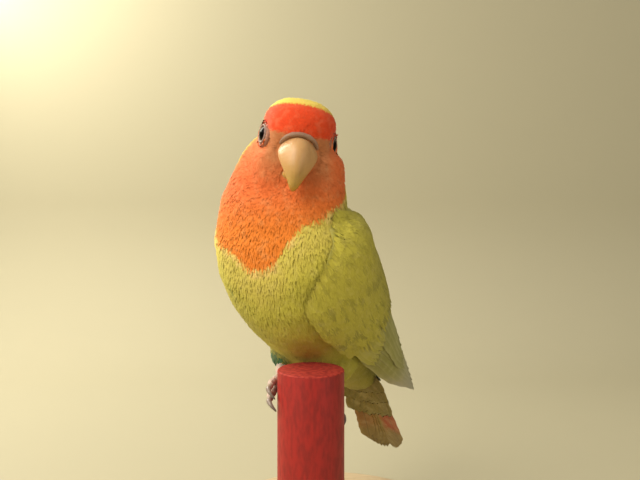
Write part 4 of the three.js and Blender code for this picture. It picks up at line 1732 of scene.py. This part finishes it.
@dataclass
class Wing:
    """One folded wing: its fleshy core, tiers of coverts, secondaries and primaries."""

    side: Side
    coverts: bpy.types.Material
    flight: bpy.types.Material
    surface: WingSurface | None = None
    covered: float = 46  # how far the small soft feathers reach from the bend
    cover_height: float = 0.4
    ground_grid: tuple[int, int] = (46, 30)  # corners along and across the ground of these feathers

    def ground(self) -> Ground:
        """The surface on which the wing's small soft feathers grow, low over its coverts.

        Returns:
            The surface.
        """
        rows, columns = self.ground_grid
        runs, shares = np.linspace(-0.5, self.covered + 10, rows), np.linspace(-0.02, 1.04, columns)
        run, share = (grid.ravel() for grid in np.meshgrid(runs, shares, indexing="ij"))
        low = self.surface.place(run, share, run * 0, run * 0 + self.cover_height)
        high = self.surface.place(run, share, run * 0, run * 0 + self.cover_height + 1)
        index = np.arange(rows * columns).reshape(rows, columns)
        a, b, c, d = index[:-1, :-1], index[1:, :-1], index[1:, 1:], index[:-1, 1:]
        faces = np.concatenate([np.stack(corners, -1).reshape(-1, 3) for corners in ((a, b, c), (a, c, d))])
        first = low[faces]
        facing = np.cross(first[:, 1] - first[:, 0], first[:, 2] - first[:, 0])
        if (facing * (high - low)[faces[:, 0]]).sum() < 0:
            faces = faces[:, ::-1]
        mesh = bpy.data.meshes.new("wing_ground")
        mesh.from_pydata(low.tolist(), [], faces.tolist())
        return Ground.of(mesh)

    def run_of(self, places: Array) -> Array:
        """How far along the wing some places lie, in millimetres."""
        own = back_through(POSE.body, places)
        return (own - self.surface.start) @ unit(np.array(self.surface.way))

    def small_feathers(self) -> None:
        """Covers the front half of the wing in soft feathers like those of the body."""
        ground = self.ground()
        turn = np.array(POSE.body)[:3, :3]
        way = turn @ unit(np.array(self.surface.way))
        finish = Plumage().material("plumage_wing")

        def flow(places: Array, normals: Array) -> Array:
            """Along the wing, flat on its surface."""
            return unit(way - normals * (normals @ way)[:, None])

        for tuft, label, spacing, slender, stray in (
            (LEAF, "leaves", 1.15 * MM, 1.0, 0.1),
            (BARB, "barbs", 0.6 * MM, 0.28, 0.2),
        ):

            def size(places: Array) -> tuple[Array, Array, Array]:
                """Larger feathers farther from the bend.

                Args:
                    places: The places.

                Returns:
                    Their length, width and lift in millimetres.
                """
                run = self.run_of(places)
                grown = smoothstep(0, 40, run)
                return lerp(3.2, 5.8, grown), lerp(1.6, 2.6, grown) * slender, lerp(0.55, 0.8, grown)

            roots = Roots.grow(ground, spacing, 40 + self.side.value, flow, size, stray)
            thinned = self.covered - 9 * np.abs(roots.jitter) ** 0.5
            roots = roots.where(self.run_of(roots.places) < thinned)
            name = f"wing_{self.side.word}_{label}"
            tuft.build(name, roots, ground, MARKINGS.read_wing, finish)

    def core(self) -> bpy.types.Object:
        """The wing's own plate, which carries the feathers' roots.

        Returns:
            The object.
        """
        pattern = VaneSheet(24, 16, thick=1.2, camber=0.0)
        whole = Vane((1.5, 0.5), (72, 0.5), 10, (-1.0, -1.2), tilt=0, point=0.9, shade=1.0)
        surface = self.surface

        class Across:
            """Spreads a plate over the wing's whole width."""

            @staticmethod
            def place(run: Array, share: Array, offset: Array, height: Array) -> Array:
                """Places on the wing, with the offset as a share of its width."""
                return surface.place(run, 0.5 + offset * 0.088, offset * 0, height)

        return pattern.build(f"wing_{self.side.word}_core", [whole], Across(), self.coverts)

    def small_coverts(self) -> list[Vane]:
        """The lesser and median coverts, in staggered tiers from the bend outwards.

        Returns:
            The vanes.
        """
        rng = np.random.default_rng(5)
        vanes = []
        for tier in range(9):
            start = 0.5 + 3.5 * tier
            count = 8 + tier % 2 + (tier > 3)
            for i in range(count):
                share = 0.05 + 0.8 * (i + 0.5 * (tier % 2)) / (count - 0.5)
                slant = 3 * math.sin(math.pi * share)
                length = 8.5 + 0.6 * tier + rng.uniform(-0.6, 0.6)
                end = (start + length + slant, share + rng.uniform(-0.02, 0.02))
                width, shade = 6.2 + 0.15 * tier, rng.uniform(0.1, 0.9)
                vanes.append(Vane((start, share), end, width, (-0.75, 0.3), 0.15, 0.55, shade))
        return vanes

    def large_coverts(self) -> list[Vane]:
        """The greater coverts over the secondaries, and the primary coverts.

        Returns:
            The vanes.
        """
        rng = np.random.default_rng(6)
        vanes = []
        for i in range(11):
            share = 0.05 + 0.86 * i / 10
            end = (46 + 2.5 * math.sin(math.pi * share), share * 0.98)
            vanes.append(Vane((29, share), end, 6.4, (-0.8, 0.42), 0.3, 0.66, rng.uniform(0.2, 0.8)))
        for i in range(7):
            share = 0.70 + 0.25 * i / 6
            end, shade = (55 + i, share), rng.uniform(0.3, 0.9)
            vanes.append(Vane((34, share), end, 4.6, (-0.8, 0.25), 0.28, 0.7, shade))
        return vanes

    def long_feathers(self) -> list[Vane]:
        """The secondaries and the primaries.

        Returns:
            The vanes.
        """
        rng = np.random.default_rng(7)
        vanes = []
        for i in range(10):
            order = i / 9
            share = lerp(0.05, 0.68, order)
            start, end = (lerp(31, 38, order), share), (lerp(62, 80, order), share * 0.9)
            vanes.append(Vane(start, end, 7.6, (-0.9, 0.12), 0.34, 0.78, rng.uniform(0.1, 0.5), length=0.1))
        for i in range(10):
            order = i / 9
            run = lerp(80, self.surface.length - 0.6, min(1, order * 1.25) ** 0.9)
            if i == 9:
                run = 97
            share = float(np.interp(order, (0, 0.3, 0.6, 0.85, 1), (0.10, 0.18, 0.4, 0.74, 0.92)))
            start = (lerp(42, 37, order), lerp(0.6, 0.95, order))
            rise, shade = (-1.0, -0.25 - 0.05 * i), rng.uniform(0.2, 0.6)
            vanes.append(Vane(start, (run, share), 6.4, rise, 0.3, 0.84, shade, length=0.3 + 0.7 * order))
        return vanes

    def build(self) -> bpy.types.Object:
        """Makes the wing.

        Returns:
            The core, under which no body feathers are needed.
        """
        self.surface = WingSurface(self.side).prepare()
        name = f"wing_{self.side.word}"
        core = settle(self.core(), "olive_plumage", name)
        small = VaneSheet(7, 6, thick=0.2, camber=0.15)
        long = VaneSheet(26, 8, thick=0.34, camber=0.3)
        for label, sheet, vanes, finish in (
            ("coverts", small, self.small_coverts(), self.coverts),
            ("greater_coverts", VaneSheet(12, 6, thick=0.24, camber=0.2), self.large_coverts(), self.coverts),
            ("flight", long, self.long_feathers(), self.flight),
        ):
            piece = sheet.build(f"{name}_{label}", vanes, self.surface, finish)
            settle(piece, "olive_plumage", name)
        self.small_feathers()
        return core


@dataclass
class Tail:
    """The tail: twelve feathers in six pairs, with coverts over and under their roots."""

    feathers: bpy.types.Material
    over: bpy.types.Material
    under: bpy.types.Material
    start: tuple[float, float, float] = (4.2, 54, -56)
    way: tuple[float, float, float] = (-0.02, 0.64, -0.768)
    out: tuple[float, float, float] = (0, 0.768, 0.64)
    arch: float = 0.018
    length: float = 58
    pairs: int = 6

    def place(self, run: Array, share: Array, offset: Array, height: Array) -> Array:
        """Places on the tail.

        Args:
            run: Distance from the root in millimetres.
            share: Distance across in millimetres.
            offset: A further step across.
            height: Height over the surface.

        Returns:
            The places in the model's frame, in metres.
        """
        across = share + offset
        out = unit(np.array(self.out)) * (height - self.arch * across**2)[:, None]
        at = np.array(self.start) + unit(np.array(self.way)) * run[:, None] + out
        at[:, 0] += across
        return through(POSE.body, at)

    def long_feathers(self) -> list[Vane]:
        """The twelve feathers, from the middle pair outwards on each side.

        Returns:
            The vanes.
        """
        vanes = []
        for side in Side:
            for pair in range(self.pairs):
                start = (6, side.value * (0.7 + 0.68 * pair))
                end = (self.length - 0.6 - 0.38 * pair**2, side.value * (1.4 + 1.2 * pair))
                rise = (-1.4, -0.36 * pair - (0.18 if side is Side.RIGHT else 0))
                band = (0.9 if side is Side.LEFT else 0.25) * max(0, pair - 2) / 3
                shade = 0.3 + 0.08 * pair
                vanes.append(Vane(start, end, 7.2, rise, -0.2 * side.value, 0.85, shade, 0.5, band))
        return vanes

    @staticmethod
    def coverts() -> dict[bool, list[Vane]]:
        """The coverts in tiers.

        Returns:
            Those over the tail by True and those under it by False.
        """
        rng = np.random.default_rng(8)
        short: dict[bool, list[Vane]] = {True: [], False: []}
        over_tiers = ((-2, 10, True), (2, 17, True), (7, 27, True))
        tiers = (*over_tiers, (-2, 10, False), (2, 17, False), (7, 26, False))
        for tier, (first, last, over) in enumerate(tiers):
            count = 7 + tier % 3
            wide, aside = (5.2, 0) if over else (8.4, 0.3)
            rise = (-0.4, 0.8) if over else (-2.0, -4.0)
            for i in range(count):
                across = 2 * i / (count - 1) - 1
                start = (first, across * wide * 0.66)
                end = (last - 4 * across**2 + rng.uniform(-1, 1), across * wide + aside)
                shade = rng.uniform(0.1, 0.8)
                short[over].append(Vane(start, end, 6.6, rise, -0.12 * across, 0.66, shade, 0.1))
        return short

    def build(self) -> None:
        """Makes the tail's feathers, coverts and root."""
        short = self.coverts()
        core = Vane((1, 0), (23, 0), 14, (-1.6, -1.4), tilt=0, point=0.6, shade=0.8)
        for label, sheet, vanes, finish in (
            ("feathers", VaneSheet(24, 8, thick=0.34, camber=0.25), self.long_feathers(), self.feathers),
            ("coverts_over", VaneSheet(9, 6), short[True], self.over),
            ("coverts_under", VaneSheet(9, 6), short[False], self.under),
            ("root", VaneSheet(10, 8, thick=3.6, camber=0.6), [core], self.under),
        ):
            settle(sheet.build(f"tail_{label}", vanes, self, finish), "tail_plumage", "tail")


# Face


GRANULES = 26  # round each bare ring of an eye
GRANULE_HEIGHT = 0.05


@dataclass
class Face:
    """Bill, cere and eyes."""

    bill_width: float = 12.6
    gaze_turn: float = 18  # degrees from straight aside towards the bill
    gaze_rise: float = 0.06
    nostril: tuple[float, float, float] = (2.7, -11.5, 2.2)  # the left one, in the head's frame
    # each bare ring's radius, height over the eye's centre and section's radius
    ring: tuple[float, float, float] = (2.95, 2.3, 0.42)
    lids: tuple[float, float, float] = (3.9, 1.25, 1.15)

    def bill(self) -> list[bpy.types.Object]:
        """The hooked upper bill and the short lower one.

        Returns:
            Both objects.
        """
        horn = Horn((0.56, 0.33, 0.19), (0.62, 0.35, 0.14), (0.50, 0.32, 0.05), 0.42).material("bill_horn")
        upper = Limb(
            ((0, -4, -3.6), (0, -10, -3.2), (0, -14, -6.4), (0, -15.6, -10.6), (0, -14.6, -14.8)),
            Curve(tuple(self.bill_width * share for share in (0.46, 0.49, 0.49, 0.37, 0.2, 0.06))),
            Curve((5.4, 5.4, 5.2, 4.3, 2.8, 0.8)),
            caps=(0.15, 0.1),
            rings=26,
            sides=32,
        )
        lower = Limb(
            ((0, -4, -8.5), (0, -8.5, -10.5), (0, -11.5, -10)),
            Curve((4.4, 4.4, 2.6)),
            Curve((3.2, 2.6, 1.2)),
            caps=(0.2, 0.25),
        )
        made = []
        for name, limb in (("bill_upper", upper), ("bill_lower", lower)):
            piece = subdivided(limb_object(name + "_horn", [(limb, POSE.head)], horn), 1)
            self._grade(piece, limb)
            made.append(settle(piece, "bill_horn", name))
        return made

    @staticmethod
    def _grade(piece: bpy.types.Object, limb: Limb) -> None:
        """Stores how far along its path each corner lies, and keels the upper side.

        Args:
            piece: The object.
            limb: The form that it was made from.
        """
        places, _ = places_of(piece.data)
        own = back_through(POSE.head, places)
        shares = np.linspace(0, 1, 60)
        line, _ = limb.path(shares)
        nearest = ((own[:, None] - line[None]) ** 2).sum(-1).argmin(1)
        along = shares[nearest]
        front = np.clip((line[nearest, 1] - own[:, 1]) + (own[:, 2] - line[nearest, 2]), 0, None)
        own[:, 0] *= 1 - 0.05 * np.minimum(front, 5) * np.minimum(1, along * 3)
        piece.data.vertices.foreach_set("co", through(POSE.head, own).astype(np.float32).ravel())
        piece.data.update()
        set_color(piece.data, "shade", first_of_three(along))

    def cere(self) -> bpy.types.Object:
        """The band of soft skin over the bill's root, with two nostrils.

        Returns:
            The object.
        """
        skin = BareSkin((0.44, 0.27, 0.19), (0.33, 0.19, 0.13), 1500, 0.00012).material("cere_skin")
        band = Limb(
            ((-6, -8.4, -1.6), (-3.8, -10.3, 1.5), (0, -11.3, 2.6), (3.8, -10.3, 1.5), (6, -8.4, -1.6)),
            Curve((0.55, 0.75, 0.8, 0.75, 0.55)),
            Curve((1.0, 1.15, 1.25, 1.15, 1.0)),
            caps=(0.12, 0.12),
            side=(0, 0, 1),
            rings=30,
        )
        piece = subdivided(limb_object("cere_band", [(band, POSE.head)], skin), 1)
        places, normals = places_of(piece.data)
        own = back_through(POSE.head, places)
        for side in Side:
            away = np.linalg.norm(own - (side.value * self.nostril[0], *self.nostril[1:]), axis=1)
            dent = 0.5 * (1 - smoothstep(0.1, 0.55, away)) - 0.15 * np.exp(-(((away - 0.7) / 0.2) ** 2))
            places = places - normals * (dent * MM)[:, None]
        piece.data.vertices.foreach_set("co", places.astype(np.float32).ravel())
        return settle(piece, "cere_skin", "cere")

    def eyes(self) -> list[bpy.types.Object]:
        """Both eyeballs and the granular bare ring round each.

        Returns:
            The eyeballs and the inner rings, which the coat keeps clear of.
        """
        ball_finish = WetEye().material()
        ring_finish = BareSkin((0.36, 0.23, 0.19), (0.24, 0.13, 0.10), 2600, 0.0001).material("eye_ring_skin")
        lid_finish = BareSkin((0.42, 0.19, 0.12), (0.34, 0.13, 0.08), 1800, 0.0001).material("eyelid_skin")
        made = []
        for side in Side:
            node = f"eye_{side.word}"
            low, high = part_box(node)
            centre, radius = (low + high) / 2, (high.z - low.z) / 2
            turn = math.radians(self.gaze_turn)
            gaze = Vector((side.value * math.cos(turn), -math.sin(turn), self.gaze_rise)).normalized()
            gaze = (POSE.head.to_3x3() @ gaze).normalized()
            shape = bmesh.new()
            bmesh.ops.create_uvsphere(
                shape, u_segments=48, v_segments=32, radius=radius, matrix=Matrix.Translation(centre)
            )
            ball = as_object(node + "_ball", shape, ball_finish)
            _, normals = places_of(ball.data)
            facing = normals @ np.array(gaze)
            set_color(ball.data, "shade", first_of_three(facing))
            made.append(settle(ball, "eye_brown", node))
            ring = self._ring(node + "_ring", centre, gaze, self.ring, ring_finish)
            made.append(settle(ring, "cere_skin"))
            settle(self._ring(node + "_lids", centre, gaze, self.lids, lid_finish), "cere_skin")
        return made

    @staticmethod
    def _ring(
        name: str, centre: Vector, gaze: Vector, sizes: tuple[float, float, float], finish: bpy.types.Material
    ) -> bpy.types.Object:
        """A low granular ring round an eyeball.

        Args:
            name: The object's name.
            centre: The eyeball's centre.
            gaze: The way that the eye looks.
            sizes: The ring's radius, its height over the centre and its section's radius. Millimetres.
            finish: The material.

        Returns:
            The object.
        """
        radius, height, section_radius = sizes
        place = Matrix.Translation(centre) @ gaze.to_track_quat("Z", "Y").to_matrix().to_4x4()
        shape = bmesh.new()
        section = moved(radius, 0, height) @ turned("X", 90)
        made = bmesh.ops.create_circle(shape, segments=14, radius=section_radius * MM, matrix=section)
        spin_round(shape, made["verts"] + edges_of(made["verts"]), 96)
        for vert in shape.verts:
            turn = math.atan2(vert.co.y, vert.co.x)
            granule = GRANULE_HEIGHT * math.sin(GRANULES * turn) * MM
            way = Vector((math.cos(turn), math.sin(turn), 0.6)).normalized()
            vert.co += way * granule
            vert.co.y *= 0.94
        bmesh.ops.recalc_face_normals(shape, faces=shape.faces)
        bmesh.ops.transform(shape, matrix=place, verts=shape.verts)
        return as_object(name, shape, finish)


# Feet


@dataclass(frozen=True)
class FootPlan:
    """Where one foot stands: millimetres in the body's frame, and degrees round the perch."""

    side: Side
    hip: tuple[float, float, float]
    knee: tuple[float, float, float]
    palm: float
    drop: float
    spread: float


@dataclass(frozen=True)
class Toe:
    """One toe: how far it turns round the perch, how far it drops and how thick it is."""

    turn: float
    drop: float
    size: float


@dataclass
class Feet:
    """Both bare shanks with their four toes and claws, round the perch."""

    toe_radius: float = 1.55
    gap: float = 0.3
    voxel: float = 0.24 * MM
    smoothing: int = 4
    plans: tuple[FootPlan, ...] = (
        FootPlan(Side.RIGHT, (-10, 19, -36), (-8.5, 9.5, -47), 168, 4.8, 0.9),
        FootPlan(Side.LEFT, (10, 24, -40), (9, 17, -52), 104, 13, 0.7),
    )
    toes: tuple[Toe, ...] = (
        Toe(48, -0.6, 0.95),
        Toe(54, 3, 1.05),
        Toe(-34, -0.8, 0.95),
        Toe(-42, 3.2, 1.05),
    )

    def round_perch(self, angle: float, reach: float, drop: float) -> tuple[float, float, float]:
        """A place round the perch, in the body's frame.

        Args:
            angle: Degrees from the bird's left towards its back.
            reach: Distance from the perch's axis.
            drop: Distance below its top.

        Returns:
            The place in millimetres.
        """
        low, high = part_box("perch")
        axis = Vector(((low.x + high.x) / 2, (low.y + high.y) / 2, high.z))
        x, y, z = (POSE.body.inverted() @ axis) / MM
        turn = math.radians(angle)
        return x + reach * math.cos(turn), y + reach * math.sin(turn), z - drop

    def reach(self) -> float:
        """Distance of a toe's middle from the perch's axis."""
        low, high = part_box("perch")
        return (high.x - low.x) / 2 / MM + self.gap + self.toe_radius + 0.1

    def shank(self, plan: FootPlan) -> Limb:
        """The bare shank down to the palm.

        Args:
            plan: The foot.

        Returns:
            The form.
        """
        palm = self.round_perch(plan.palm, self.reach() + 0.6, plan.drop)
        middle = tuple(lerp(a, b, 0.5) for a, b in zip(plan.knee, palm))
        start = tuple(lerp(a, b, 0.4) for a, b in zip(plan.knee, plan.hip))
        size = Curve((2.5, 2.2, 1.9, 2.2))
        return Limb((start, plan.knee, middle, palm), size, size, caps=(0.15, 0.2), rings=18)

    def toe(self, plan: FootPlan, toe: Toe) -> Limb:
        """One toe, with a pad under each joint.

        Args:
            plan: The foot.
            toe: The toe.

        Returns:
            The form.
        """
        points = []
        for i in range(6):
            share = i / 5
            drop = plan.drop + toe.drop * min(1, share * 2.2) + 1.2 * share
            lift = 0.5 * math.sin(share * math.pi * 3) ** 2
            angle = plan.palm + toe.turn * plan.spread * share
            points.append(self.round_perch(angle, self.reach() + lift, drop))
        shares = np.linspace(0, 1, 13)
        pads = 0.94 + 0.08 * np.cos(shares * 6 * math.pi)
        size = Curve(tuple(self.toe_radius * toe.size * (1 - 0.22 * shares) * pads))
        return Limb(tuple(points), size, size, caps=(0.12, 0.12), side=(0, 0, 1), rings=26, sides=14)

    def claw(self, plan: FootPlan, toe: Toe) -> Limb:
        """One hooked claw at a toe's end.

        Args:
            plan: The foot.
            toe: The toe.

        Returns:
            The form.
        """
        end = plan.palm + toe.turn * plan.spread
        drop = plan.drop + toe.drop + 1.2
        step = math.copysign(1, toe.turn)
        reach = self.reach()
        points = (
            self.round_perch(end - 3 * step, reach, drop),
            self.round_perch(end + 7 * step, reach + 1.0, drop + 0.5),
            self.round_perch(end + 15 * step, reach + 0.5, drop + 1.7),
            self.round_perch(end + 19 * step, reach - 0.7, drop + 3.3),
        )
        size = Curve((1.0, 0.9, 0.6, 0.22))
        return Limb(points, size, size, caps=(0.1, 0.08), side=(0, 0, 1), rings=14, sides=12)

    def build(self) -> list[bpy.types.Object]:
        """Makes feet and claws.

        Returns:
            Both feet, which the coat keeps clear of.
        """
        skin = BareSkin((0.60, 0.45, 0.39), (0.45, 0.33, 0.28), 900, 0.0002).material("foot_skin")
        horn = Horn((0.42, 0.33, 0.28), (0.27, 0.21, 0.18), (0.13, 0.10, 0.085)).material("claw_horn")
        made = []
        for plan in self.plans:
            limbs = [(self.shank(plan), POSE.body)]
            limbs += [(self.toe(plan, toe), POSE.body) for toe in self.toes]
            node = f"foot_{plan.side.word}"
            foot = limb_object(node + "_scaled", limbs, skin)
            remesh(foot, self.voxel, self.smoothing)
            made.append(settle(foot, "foot_skin", node))
            for number, toe in enumerate(self.toes, 1):
                limb = self.claw(plan, toe)
                node = f"claw_{plan.side.word}_{number}"
                claw = limb_object(node + "_horn", [(limb, POSE.body)], horn)
                places, _ = places_of(claw.data)
                line, _ = limb.path(np.linspace(0, 1, 30))
                own = back_through(POSE.body, places)
                along = ((own[:, None] - line[None]) ** 2).sum(-1).argmin(1) / 29
                set_color(claw.data, "shade", first_of_three(along))
                settle(claw, "claw_horn", node)
        return made


# Perch, stand and studio


@dataclass(frozen=True)
class Turned:
    """A round form turned from a profile, as big as a node of the frame."""

    node: str
    slot: str
    edge: float
    segments: int = 96

    def build(self, finish: bpy.types.Material) -> bpy.types.Object:
        """Spins the profile round the node's axis.

        Args:
            finish: The material.

        Returns:
            The object.
        """
        low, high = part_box(self.node)
        radius = (high.x - low.x) / 2
        middle = (low + high) / 2
        shape = bmesh.new()
        profile = [(0, low.z), (radius, low.z), (radius, high.z), (0, high.z)]
        verts = [shape.verts.new((x, 0, z)) for x, z in profile]
        edges = [shape.edges.new(pair) for pair in zip(verts, verts[1:])]
        spin_round(shape, verts + edges, self.segments)
        bmesh.ops.remove_doubles(shape, verts=shape.verts, dist=1e-6)
        rims = [edge for edge in shape.edges if self._is_rim(edge, radius)]
        bmesh.ops.bevel(
            shape, geom=rims, offset=self.edge, segments=4, profile=0.5, affect="EDGES", material=-1
        )
        bmesh.ops.recalc_face_normals(shape, faces=shape.faces)
        bmesh.ops.translate(shape, vec=(middle.x, middle.y, 0), verts=shape.verts)
        piece = as_object(self.node + "_turned", shape, finish)
        return settle(piece, self.slot, self.node)

    @staticmethod
    def _is_rim(edge: bmesh.types.BMEdge, radius: float) -> bool:
        """Whether an edge runs round the rim of a flat end."""
        a, b = (vert.co for vert in edge.verts)
        return abs(a.z - b.z) < 1e-6 and min(a.xy.length, b.xy.length) > radius * 0.99


@dataclass
class Stand:
    """The upright perch and the display stand that holds it."""

    def build(self) -> None:
        """Makes perch, rod and base."""
        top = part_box("perch")[1].z
        red_end = (0.46, 0.036, 0.022)
        red = TurnedWood((0.38, 0.011, 0.008), (0.26, 0.008, 0.006), red_end, (1, 1, 0.3), 0.55, top)
        pale = TurnedWood((0.62, 0.50, 0.33), (0.50, 0.37, 0.22), (0.6, 0.48, 0.3), (0.08, 1, 1), 0.45)
        Turned("perch", "perch_red", 0.5 * MM).build(red.material("perch_red"))
        Turned("stand_base", "stand_wood", 1.4 * MM, 128).build(pale.material("stand_wood"))
        Turned("stand_rod", "stand_steel", 0.2 * MM, 48).build(BrushedSteel().material())


@dataclass
class Studio:
    """Floor, backdrop, lights and the camera. Millimetres, and metres for the paper and the lamps."""

    camera_at: tuple[float, float, float] = (-4, -205, 118.4)
    lens: float = 31.16
    sensor: float = 36
    wall_at: float = 420
    paper_side: float = 2.6
    paper_rise: float = 2.2
    paper_bend: float = 0.16
    bend_steps: int = 8
    aim_at: tuple[float, float, float] = (0, 0, 0.11)
    surroundings: Color = (1.0, 0.93, 0.77)
    surroundings_power: float = 0.36

    def camera(self) -> None:
        """The level camera."""
        data = bpy.data.cameras.new("camera")
        data.lens = self.lens
        data.sensor_width = self.sensor
        data.clip_start = 0.01
        camera = bpy.data.objects.new("camera", data)
        camera.location = Vector(self.camera_at) * MM
        camera.rotation_euler = (math.radians(90), 0, 0)
        bpy.context.scene.collection.objects.link(camera)
        bpy.context.scene.camera = camera

    def backdrop(self) -> None:
        """A pale floor that bends up into a backdrop."""
        shape = bmesh.new()
        wall, bend = self.wall_at * MM, self.paper_bend
        profile = [(-self.paper_side, 0.0), (wall - bend, 0.0)]
        for step in range(1, self.bend_steps + 1):
            turn = math.radians(90) * step / self.bend_steps
            profile.append((wall - bend + bend * math.sin(turn), bend * (1 - math.cos(turn))))
        profile.append((wall, self.paper_rise))
        verts = [shape.verts.new((-self.paper_side, y, z)) for y, z in profile]
        edges = [shape.edges.new(pair) for pair in zip(verts, verts[1:])]
        pulled = bmesh.ops.extrude_edge_only(shape, edges=edges)
        moved_verts = [item for item in pulled["geom"] if isinstance(item, bmesh.types.BMVert)]
        bmesh.ops.translate(shape, vec=(2 * self.paper_side, 0, 0), verts=moved_verts)
        bmesh.ops.recalc_face_normals(shape, faces=shape.faces)
        floor = as_object("studio_floor", shape, StudioPaper().material())

    def lamp(
        self, name: str, at: tuple[float, float, float], size: float, power: float, color: Color
    ) -> None:
        """An area light that looks at the bird.

        Args:
            name: The light's name.
            at: Its place in metres.
            size: Its edge in metres.
            power: Its power in watts.
            color: Its colour.
        """
        data = bpy.data.lights.new(name, "AREA")
        data.energy = power
        data.size = size
        data.color = color
        lamp = bpy.data.objects.new(name, data)
        lamp.location = at
        aim = Vector(self.aim_at) - Vector(at)
        lamp.rotation_euler = aim.to_track_quat("-Z", "Y").to_euler()
        bpy.context.scene.collection.objects.link(lamp)

    def build(self) -> None:
        """Sets the whole studio up."""
        self.camera()
        self.backdrop()
        self.lamp("key", (-0.55, -0.45, 0.7), 0.7, 9.0, (1.0, 0.92, 0.78))
        self.lamp("fill", (0.7, -0.6, 0.3), 0.7, 1.3, (1.0, 0.92, 0.82))
        self.lamp("rim", (-0.4, 0.25, 0.5), 0.3, 3.6, (1.0, 0.94, 0.80))
        world = bpy.data.worlds.new("studio")
        world.use_nodes = True
        back = world.node_tree.nodes["Background"]
        back.inputs["Color"].default_value = (*self.surroundings, 1)
        back.inputs["Strength"].default_value = self.surroundings_power
        bpy.context.scene.world = world
        bpy.context.scene.view_settings.view_transform = "Standard"


# The firm feathers' colours: base, edge, tip, shaft and, for the tail, its band
FEATHERS = {
    "wing_coverts": VanedFeather(
        (0.48, 0.44, 0.07), (0.52, 0.48, 0.09), (0.42, 0.39, 0.11), (0.34, 0.30, 0.06), barbs=22
    ),
    "flight_feathers": VanedFeather(
        (0.31, 0.30, 0.06), (0.40, 0.385, 0.12), (0.47, 0.45, 0.37), (0.20, 0.17, 0.05)
    ),
    "tail_feathers": VanedFeather(
        (0.22, 0.14, 0.018), (0.29, 0.19, 0.03), (0.31, 0.22, 0.07), (0.12, 0.08, 0.025), (0.40, 0.055, 0.01)
    ),
    # Painted shade: the upper tail coverts' own green is darkened to the dark olive of their undersides in
    # shade
    "tail_over": VanedFeather(
        (0.20, 0.21, 0.09), (0.22, 0.25, 0.17), (0.23, 0.25, 0.13), (0.14, 0.14, 0.06), barbs=22
    ),
    # Painted shade: the undertail coverts' own green is darkened to the brown-olive that they show in shade;
    # the tail's root uses it too
    "tail_under": VanedFeather(
        (0.19, 0.15, 0.025), (0.24, 0.18, 0.03), (0.2, 0.15, 0.03), (0.13, 0.1, 0.02), barbs=22
    ),
}


def main() -> None:
    """Builds the studio and every piece of the bird and its stand, in order."""
    logging.basicConfig(level=logging.INFO, format="%(name)s %(message)s")
    Studio().build()
    Stand().build()
    ground = Body().build()
    face = Face()
    face.cere()
    bare = [*face.bill(), *face.eyes()]
    feet = Feet().build()
    finishes = {name: feathers.material(name) for name, feathers in FEATHERS.items()}
    wings = finishes["wing_coverts"], finishes["flight_feathers"]
    cores = [Wing(side, *wings).build() for side in Side]
    Tail(finishes["tail_feathers"], finishes["tail_over"], finishes["tail_under"]).build()
    Coat(ground, bare + feet, cores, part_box("perch")).build()


if __name__ == "__main__":
    main()
